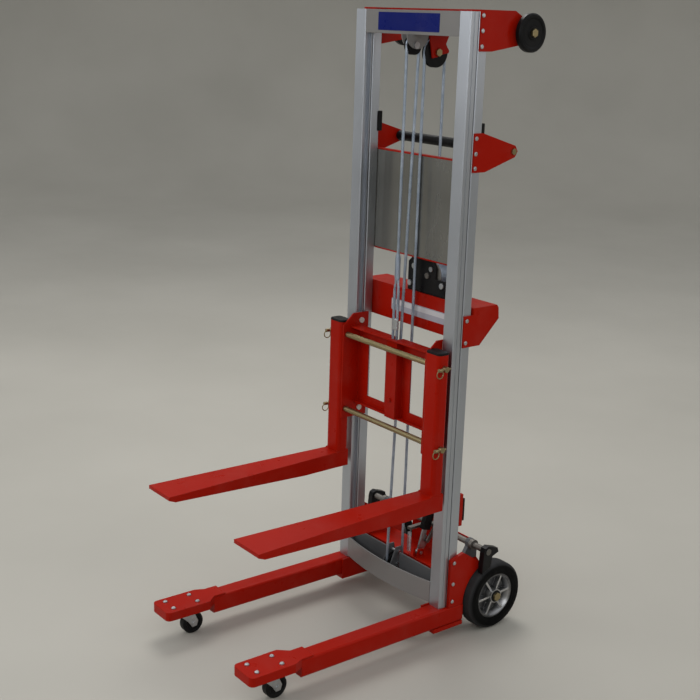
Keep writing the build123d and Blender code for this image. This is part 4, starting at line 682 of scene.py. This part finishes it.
# The kind of each finish, with its tones and its least and greatest roughness
finish_table = {
    "red_paint": (painted, dict(
        colour=(0.40, 0.0080, 0.0008), deep=(0.35, 0.0062, 0.0006), worn_and_highlit=(0.60, 0.045, 0.006),
        rough=(0.26, 0.40), shine=0.09,
    )),
    "grey_paint": (painted, dict(
        colour=(0.245, 0.235, 0.225), deep=(0.195, 0.188, 0.182), worn_and_highlit=(0.46, 0.45, 0.44),
        rough=(0.30, 0.46), shine=0.4,
    )),
    "dark_grey": (painted, dict(
        colour=(0.105, 0.108, 0.112), deep=(0.070, 0.073, 0.078), worn_and_highlit=(0.28, 0.28, 0.29),
        rough=(0.32, 0.48), shine=0.4,
    )),
    "black_paint": (painted, dict(
        colour=(0.0070, 0.0070, 0.0080), deep=(0.0045, 0.0045, 0.0055), worn_and_highlit=(0.06, 0.06, 0.06),
        rough=(0.26, 0.42), shine=0.15, wear_and_highlight=0.4,
    )),
    "panel_grey": (drawn_metal, dict(
        colour=(0.31, 0.305, 0.28), deep=(0.25, 0.245, 0.225), rough=(0.20, 0.32),
        fine=500.0, grain=0.04, metallic=0.75,
    )),
    "anodised": (drawn_metal, dict(
        colour=(0.50, 0.525, 0.57), deep=(0.44, 0.465, 0.505), rough=(0.36, 0.46),
        grain=0.03, streak=0.10,
    )),
    "dull_steel": (drawn_metal, dict(
        colour=(0.235, 0.22, 0.20), deep=(0.155, 0.145, 0.13), rough=(0.42, 0.58),
        along=(0.02, 1, 1), metallic=0.85,
    )),
    "rim_metal": (cast_rim, {}),
    "zinc": (plated, dict(
        colour=(0.56, 0.57, 0.58), second=(0.40, 0.42, 0.44), rough=(0.26, 0.44),
    )),
    "yellow_zinc": (plated, dict(
        colour=(0.37, 0.290, 0.150), second=(0.27, 0.228, 0.125), rough=(0.34, 0.50), cells=80.0,
    )),
    "black_plastic": (moulded, dict(
        colour=(0.0075, 0.0075, 0.008), dust_and_edge_highlight=(0.030, 0.030, 0.030), rough=(0.34, 0.52),
    )),
    "nylon": (moulded, dict(
        colour=(0.58, 0.56, 0.51), dust_and_edge_highlight=(0.42, 0.40, 0.36), rough=(0.42, 0.58), dust=0.5,
    )),
    "tyre_rubber": (moulded, dict(
        colour=(0.0030, 0.0030, 0.0032), dust_and_edge_highlight=(0.014, 0.0137, 0.013), rough=(0.50, 0.74),
        grain=520.0, depth=0.25, edge=2.0, shine=0.07, tread=(0.048, 0.048, 0.050),
    )),
    "wheel_rubber": (moulded, dict(
        colour=(0.007, 0.007, 0.0075), dust_and_edge_highlight=(0.024, 0.0235, 0.023), rough=(0.36, 0.56),
        grain=600.0, depth=0.15,
    )),
    "wire_rope": (galvanised, {}),
    "blue_plate": (painted, dict(
        colour=(0.0060, 0.014, 0.165), deep=(0.0048, 0.011, 0.135), worn_and_highlit=(0.08, 0.11, 0.30),
        rough=(0.22, 0.36), edge=0.4, shine=0.12, peel=0.05,
    )),
    "pale_plate": (painted, dict(
        colour=(0.46, 0.46, 0.51), deep=(0.41, 0.41, 0.46), worn_and_highlit=(0.62, 0.62, 0.64),
        rough=(0.34, 0.48), edge=0.4, peel=0.05,
    )),
    "white_band": (painted, dict(
        colour=(0.68, 0.67, 0.68), deep=(0.62, 0.61, 0.63), worn_and_highlit=(0.74, 0.74, 0.74),
        rough=(0.34, 0.48), edge=0.3, peel=0.05,
    )),
}
finishes = {name: kind(name, **values) for name, (kind, values) in finish_table.items()}

# CAD pieces take the finish of their slot in the record, apart from two that are duller than their slot
duller = {"brake_shaft": "dull_steel", "winch_drum": "dull_steel"}
for node_name, node in nodes.items():
    for holder in node.material_slots:
        name = duller.get(node_name, holder.material.name.split(".")[0])
        if name in finishes:
            holder.material = finishes[name]


# Lift cable
def hoist_taper(share):
    """Thinner on the drum, where the turns lie side by side, and full once the fall has left it."""
    return min(1.0, max(wound_share, wound_share + swell_rate * (share - swell_start)))


wire_rope = finishes["wire_rope"]
winding = []
winding_pitch = (fall_y - winding_front) / winding_turns
winding_count = round(winding_turns * 360 / winding_step)
for i in range(winding_count + 1):
    turn = winding_turns * i / winding_count
    angle = math.radians(180 + 360 * (winding_turns - turn))
    winding.append(at(
        drum_x + winding_radius * math.cos(angle), winding_front + winding_pitch * turn,
        drum_z + winding_radius * math.sin(angle),
    ))
start_way = (winding[0] - winding[1]).normalized()
fall = line(at(0, fall_y, drum_z), at(0, fall_y, top_sheave_z), cable_step)
over_top = arc(at(0, top_sheave_y, top_sheave_z), top_sheave_radius, 0, 180, cable_step)
hoist_route = joined([winding[0] + start_way * winding_lead * millimetre] + winding, fall, over_top)
rope_hoist = rope("rope_hoist", hoist_route, wire_rope, taper=hoist_taper)
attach(rope_hoist, "frame")
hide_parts("hoist_cable")

drop_top = at(0, drop_y, top_sheave_z)
drop_foot = at(0, drop_y, foot_sheave_z)
rope_drop = rope("rope_drop", line(drop_top, drop_foot, cable_step), wire_rope)
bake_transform(rope_drop)
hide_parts("cable_drop")

# The loop runs from the foot sheave's front to the back of the inner mast's top sheave
span_y = inner_sheave_y - foot_sheave_y
span_z = inner_sheave_z - foot_sheave_z
crossing = foot_sheave_radius + inner_sheave_radius
span = math.sqrt(span_y ** 2 + span_z ** 2 - crossing ** 2)
lean = math.degrees(math.atan2(span_y, span_z) + math.atan2(crossing, span))
foot_leave = -180 - lean
head_meet = -lean
foot_arc = arc(at(0, foot_sheave_y, foot_sheave_z), foot_sheave_radius, 0, foot_leave, cable_step)
head_arc = arc(at(0, inner_sheave_y, inner_sheave_z), inner_sheave_radius, head_meet, 180, cable_step)
loop_route = joined(foot_arc, line(foot_arc[-1], head_arc[0], cable_step), head_arc)
rope_loop = rope("rope_loop", loop_route, wire_rope)
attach(rope_loop, "inner_mast")
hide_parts("cable_loop")

tail_top = at(0, cable_front_y, inner_sheave_z)
tail_foot = at(0, cable_front_y, splice_top)
rope_tail = rope("rope_tail", line(tail_top, tail_foot, cable_step), wire_rope)
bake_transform(rope_tail)
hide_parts("cable_tail")


# Cable end: a spliced eye with its pressed ferrule
def splice_taper(share):
    """Full in the middle, drawn in to the single rope above and opening to the two legs below."""
    above = splice_top_share + splice_top_rate * share
    below = splice_foot_share + splice_foot_rate * (1 - share)
    return min(1.0, above, below)


splice_start = at(0, cable_front_y, splice_top + splice_overlap)
splice_route = line(splice_start, at(0, cable_front_y, splice_bottom), cable_step)
rope_splice = rope("rope_splice", splice_route, wire_rope, splice_radius, splice_lay, splice_taper)
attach(rope_splice, "carriage")

left_leg = [
    at(-leg_start, cable_front_y, splice_bottom + leg_overlap),
    at(-leg_start - leg_first_step, cable_front_y, splice_bottom),
    at(-strand_offset + leg_last_step, cable_front_y, splice_bottom - leg_spread * leg_bend_share),
    at(-strand_offset, cable_front_y, splice_bottom - leg_spread),
]
left_run = line(left_leg[-1], at(-strand_offset, cable_front_y, anchor_z), cable_step)
eye = []
for i in range(eye_steps + 1):
    angle = math.pi * (1 + i / eye_steps)
    eye_x = strand_offset * math.cos(angle)
    eye.append(at(eye_x, cable_front_y, anchor_z + strand_offset * math.sin(angle)))
right_run = [Vector((-point.x, point.y, point.z)) for point in reversed(joined(left_leg, left_run))]
rope_eye = rope("rope_eye", joined(left_leg, left_run, eye, right_run), wire_rope)
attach(rope_eye, "carriage")
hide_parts("cable_end")

ferrule_rings = []
for share, size in ferrule_profile:
    z = ferrule_bottom + (ferrule_top - ferrule_bottom) * share
    half_width = ferrule_half_width * size
    half_depth = ferrule_half_depth * size
    oval = rounded(2 * half_width, 2 * half_depth, half_depth * ferrule_roundness)
    ferrule_rings.append([at(x, cable_front_y + y, z) for x, y in oval])
eye_ferrule = new_piece("eye_ferrule", *skin(ferrule_rings), finishes["zinc"])
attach(eye_ferrule, "carriage")

# Brake return spring
coil = []
coil_start = spring_bottom + spring_tail
coil_end = spring_top - spring_tail
coil_count = spring_turns * coil_sides
for i in range(coil_count + 1):
    angle = 2 * math.pi * i / coil_sides
    coil.append(at(
        spring_x + spring_radius * math.cos(angle), spring_y + spring_radius * math.sin(angle),
        coil_start + (coil_end - coil_start) * i / coil_count,
    ))
spring_foot = at(spring_x + spring_radius, spring_y, spring_bottom)
spring_head = at(spring_x + spring_radius, spring_y, spring_top)
foot_run = line(spring_foot, coil[0], spring_step)
head_run = line(coil[-1], spring_head, spring_step)
spring_route = joined(foot_run, coil, head_run)
spring_coil = wire("spring_coil", spring_route, spring_wire, finishes["zinc"])
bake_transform(spring_coil)
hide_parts("brake_spring")

# Plain plates
blue_plate = panel(
    "blue_plate", at(beam_plate_x, beam_front, beam_plate_z), beam_plate_size,
    radius=2.5, depth=1.0, edge=0.4, material=finishes["blue_plate"],
)
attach(blue_plate, "inner_mast")
pale_plate = panel(
    "pale_plate", at(console_plate_x, console_front, console_plate_z), console_plate_size,
    radius=2.0, depth=console_plate_depth, edge=0.3, material=finishes["pale_plate"],
)
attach(pale_plate, "frame")

pale_band = panel(
    "pale_band", at(console_plate_x, console_front - console_plate_depth, band_z), band_size,
    radius=1.5, depth=0.35, edge=0.15, material=finishes["white_band"],
)
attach(pale_band, "frame")

# Red edging on the guard panel
trim_front = panel_front - trim_skin
trim_back = panel_flange_back + trim_skin
for name, z_edge, way in (("panel_trim_top", panel_top, 1), ("panel_trim_bottom", panel_bottom, -1)):
    outer = z_edge + way * trim_skin
    lip = z_edge - way * trim_lip
    outline = [
        (trim_front, lip), (trim_front, outer), (trim_back, outer), (trim_back, lip),
        (panel_flange_back, lip), (panel_flange_back, z_edge), (panel_front, z_edge), (panel_front, lip),
    ]
    trim = extruded(name, outline, -trim_half, trim_half, finishes["red_paint"])
    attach(trim, "frame")

# Foam sleeve on the push bar
collar = [
    (sleeve_half, sleeve_bore), (sleeve_half, collar_radius - collar_ease_across),
    (sleeve_half - collar_ease_along, collar_radius), (sleeve_half - collar_length, collar_radius),
    (sleeve_half - collar_foot, sleeve_radius),
]
sleeve_profile = [(-x, radius) for x, radius in collar]
grooved_half = sleeve_half - collar_foot
groove_count = round(2 * grooved_half / groove_pitch)
for i in range(groove_count):
    x = -grooved_half + 2 * grooved_half * (i + 0.5) / groove_count
    sleeve_profile += [
        (x - groove_half_top, sleeve_radius), (x - groove_half_floor, sleeve_radius - groove_depth),
        (x + groove_half_floor, sleeve_radius - groove_depth), (x + groove_half_top, sleeve_radius),
    ]
sleeve_profile += reversed(collar)
push_sleeve = turned_x("push_sleeve", sleeve_profile, bar_y, bar_z, 1, finishes["wheel_rubber"])
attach(push_sleeve, "frame")

# Hub bushes
bush_face = hub_face + bush_height
bush_profile = [
    (hub_face, bush_radius), (bush_face - bush_ease_along, bush_radius),
    (bush_face, bush_radius - bush_ease_across), (bush_face, bush_bore),
]
for side, name in ((1, "right"), (-1, "left")):
    bush = turned_x(f"hub_bush_{name}", bush_profile, wheel_y, wheel_z, side, finishes["black_plastic"])
    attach(bush, f"rear_wheel_{name}")

# Rubber pads with their packer
rubber = finishes["wheel_rubber"]
red_paint = finishes["red_paint"]
pad_front = column_back + pad_gap
pad_high_y = (pad_front, pad_high_back)
for side, name in ((1, "right"), (-1, "left")):
    pad_x = sorted((side * (column_in - pad_overhang), side * (column_out - pad_inset)))
    lip_x = sorted((side * (column_in - pad_overhang), side * (column_in - pad_lip_gap)))
    block(f"pad_high_{name}", pad_x, pad_high_y, pad_high_z, pad_ease, rubber, "frame")
    block(f"pad_lip_{name}", lip_x, pad_lip_y, pad_high_z, pad_lip_ease, rubber, "frame")
packer_x = (column_in + packer_inset, column_out - pad_inset)
block("pad_packer", packer_x, (pad_front, packer_back), packer_z, packer_ease, red_paint, "frame")
block("pad_low", packer_x, (packer_back, pad_low_back), pad_low_z, pad_ease, rubber, "frame")

# Strap
block("rear_strap", strap_x, strap_y, strap_z, strap_ease, red_paint, "frame")

# Floor: flat, then bent up into a wall all round
floor_radius = 8.0
floor_shares = (0.02, 0.3, 0.7, 1.0)
floor_bend = 3.0
bend_steps = 12
wall_height = 6.0
floor_sides = 96
floor_deep = (0.45, 0.433, 0.383)
floor_pale = (0.505, 0.486, 0.432)
floor_profile = [(floor_radius * share, 0.0) for share in floor_shares]
for i in range(1, bend_steps + 1):
    angle = math.radians(90 * i / bend_steps)
    floor_profile.append((floor_radius + floor_bend * math.sin(angle), floor_bend * (1 - math.cos(angle))))
floor_profile.append((floor_radius + floor_bend, wall_height))
floor_rings = []
for radius, height in floor_profile:
    ring = []
    for k in range(floor_sides):
        angle = 2 * math.pi * k / floor_sides
        ring.append(Vector((radius * math.cos(angle), radius * math.sin(angle), height)))
    floor_rings.append(ring)
floor_points, floor_faces = skin(floor_rings, closed_ends=False)
floor_faces = [tuple(reversed(face)) for face in floor_faces]
floor_faces.append(tuple(range(floor_sides)))
floor_finish = Finish("floor")
floor_tone = floor_finish.mixed(floor_finish.patches(scale=0.8, detail=4.0), floor_deep, floor_pale)
floor_roughness = floor_finish.level(floor_finish.noise(scale=2.0, detail=4.0), low=0.55, high=0.75)
floor_bump = floor_finish.bump(floor_finish.noise(scale=120.0, detail=3.0), strength=0.05, depth=0.2)
floor_material = floor_finish.set(floor_tone, floor_roughness, floor_bump)
new_piece("floor", floor_points, floor_faces, floor_material, outward=False)


def area_light(name, place, target, size, power, colour):
    lamp = bpy.data.lights.new(name, "AREA")
    lamp.shape = "DISK"
    lamp.size = size
    lamp.energy = power
    lamp.color = colour
    holder = bpy.data.objects.new(name, lamp)
    holder.location = place
    holder.rotation_mode = "QUATERNION"
    holder.rotation_quaternion = (Vector(target) - Vector(place)).to_track_quat("-Z", "Y")
    bpy.context.scene.collection.objects.link(holder)


# Lights: place, aim, size, power and colour
light_size = 2.4
area_light("key", (-2.0, 1.2, 4.2), (0, 0, 0.5), light_size, 66, (1.0, 0.98, 0.95))
area_light("right", (3.0, -2.6, 2.6), (0, 0, 0.8), light_size, 32, (0.96, 0.98, 1.0))
area_light("front", (-1.8, -3.4, 2.4), (0, 0, 0.8), light_size, 40, (0.97, 0.98, 1.0))
area_light("far", (3.2, 2.6, 2.6), (0, 0, 0.9), light_size, 16, (1.0, 0.98, 0.96))

# Studio air: brighter overhead than at the horizon
air_level = 0.30
air_overhead = 0.72
air_colour = (0.95, 0.97, 1.0, 1.0)
world = bpy.data.worlds.new("studio")
bpy.context.scene.world = world
world.use_nodes = True
air = world.node_tree
air_way = air.nodes.new("ShaderNodeTexCoord")
air_split = air.nodes.new("ShaderNodeSeparateXYZ")
air_rise = air.nodes.new("ShaderNodeMapRange")
air_rise.inputs["To Min"].default_value = air_level
air_rise.inputs["To Max"].default_value = air_overhead
air.links.new(air_way.outputs["Generated"], air_split.inputs["Vector"])
air.links.new(air_split.outputs["Z"], air_rise.inputs["Value"])
backdrop = air.nodes["Background"]
backdrop.inputs["Color"].default_value = air_colour
air.links.new(air_rise.outputs["Result"], backdrop.inputs["Strength"])

# Camera
camera_reach = 100.0
lens = bpy.data.cameras.new("camera")
lens.sensor_width = sensor_width
lens.lens = camera_focus * sensor_width / image_width
lens.clip_end = camera_reach
camera = bpy.data.objects.new("camera", lens)
bpy.context.scene.collection.objects.link(camera)
back = Vector((
    math.sin(camera_yaw) * math.cos(camera_rise),
    -math.cos(camera_yaw) * math.cos(camera_rise),
    math.sin(camera_rise),
))
level_right = Vector((math.cos(camera_yaw), math.sin(camera_yaw), 0))
level_up = back.cross(level_right)
tilt_right = level_right * math.cos(camera_roll) + level_up * math.sin(camera_roll)
tilt_up = level_up * math.cos(camera_roll) - level_right * math.sin(camera_roll)
camera_turn = Matrix((tilt_right, tilt_up, back)).transposed()
camera.matrix_world = Matrix.Translation(camera_place) @ camera_turn.to_4x4()
bpy.context.scene.camera = camera
bpy.context.scene.view_settings.view_transform = "Standard"
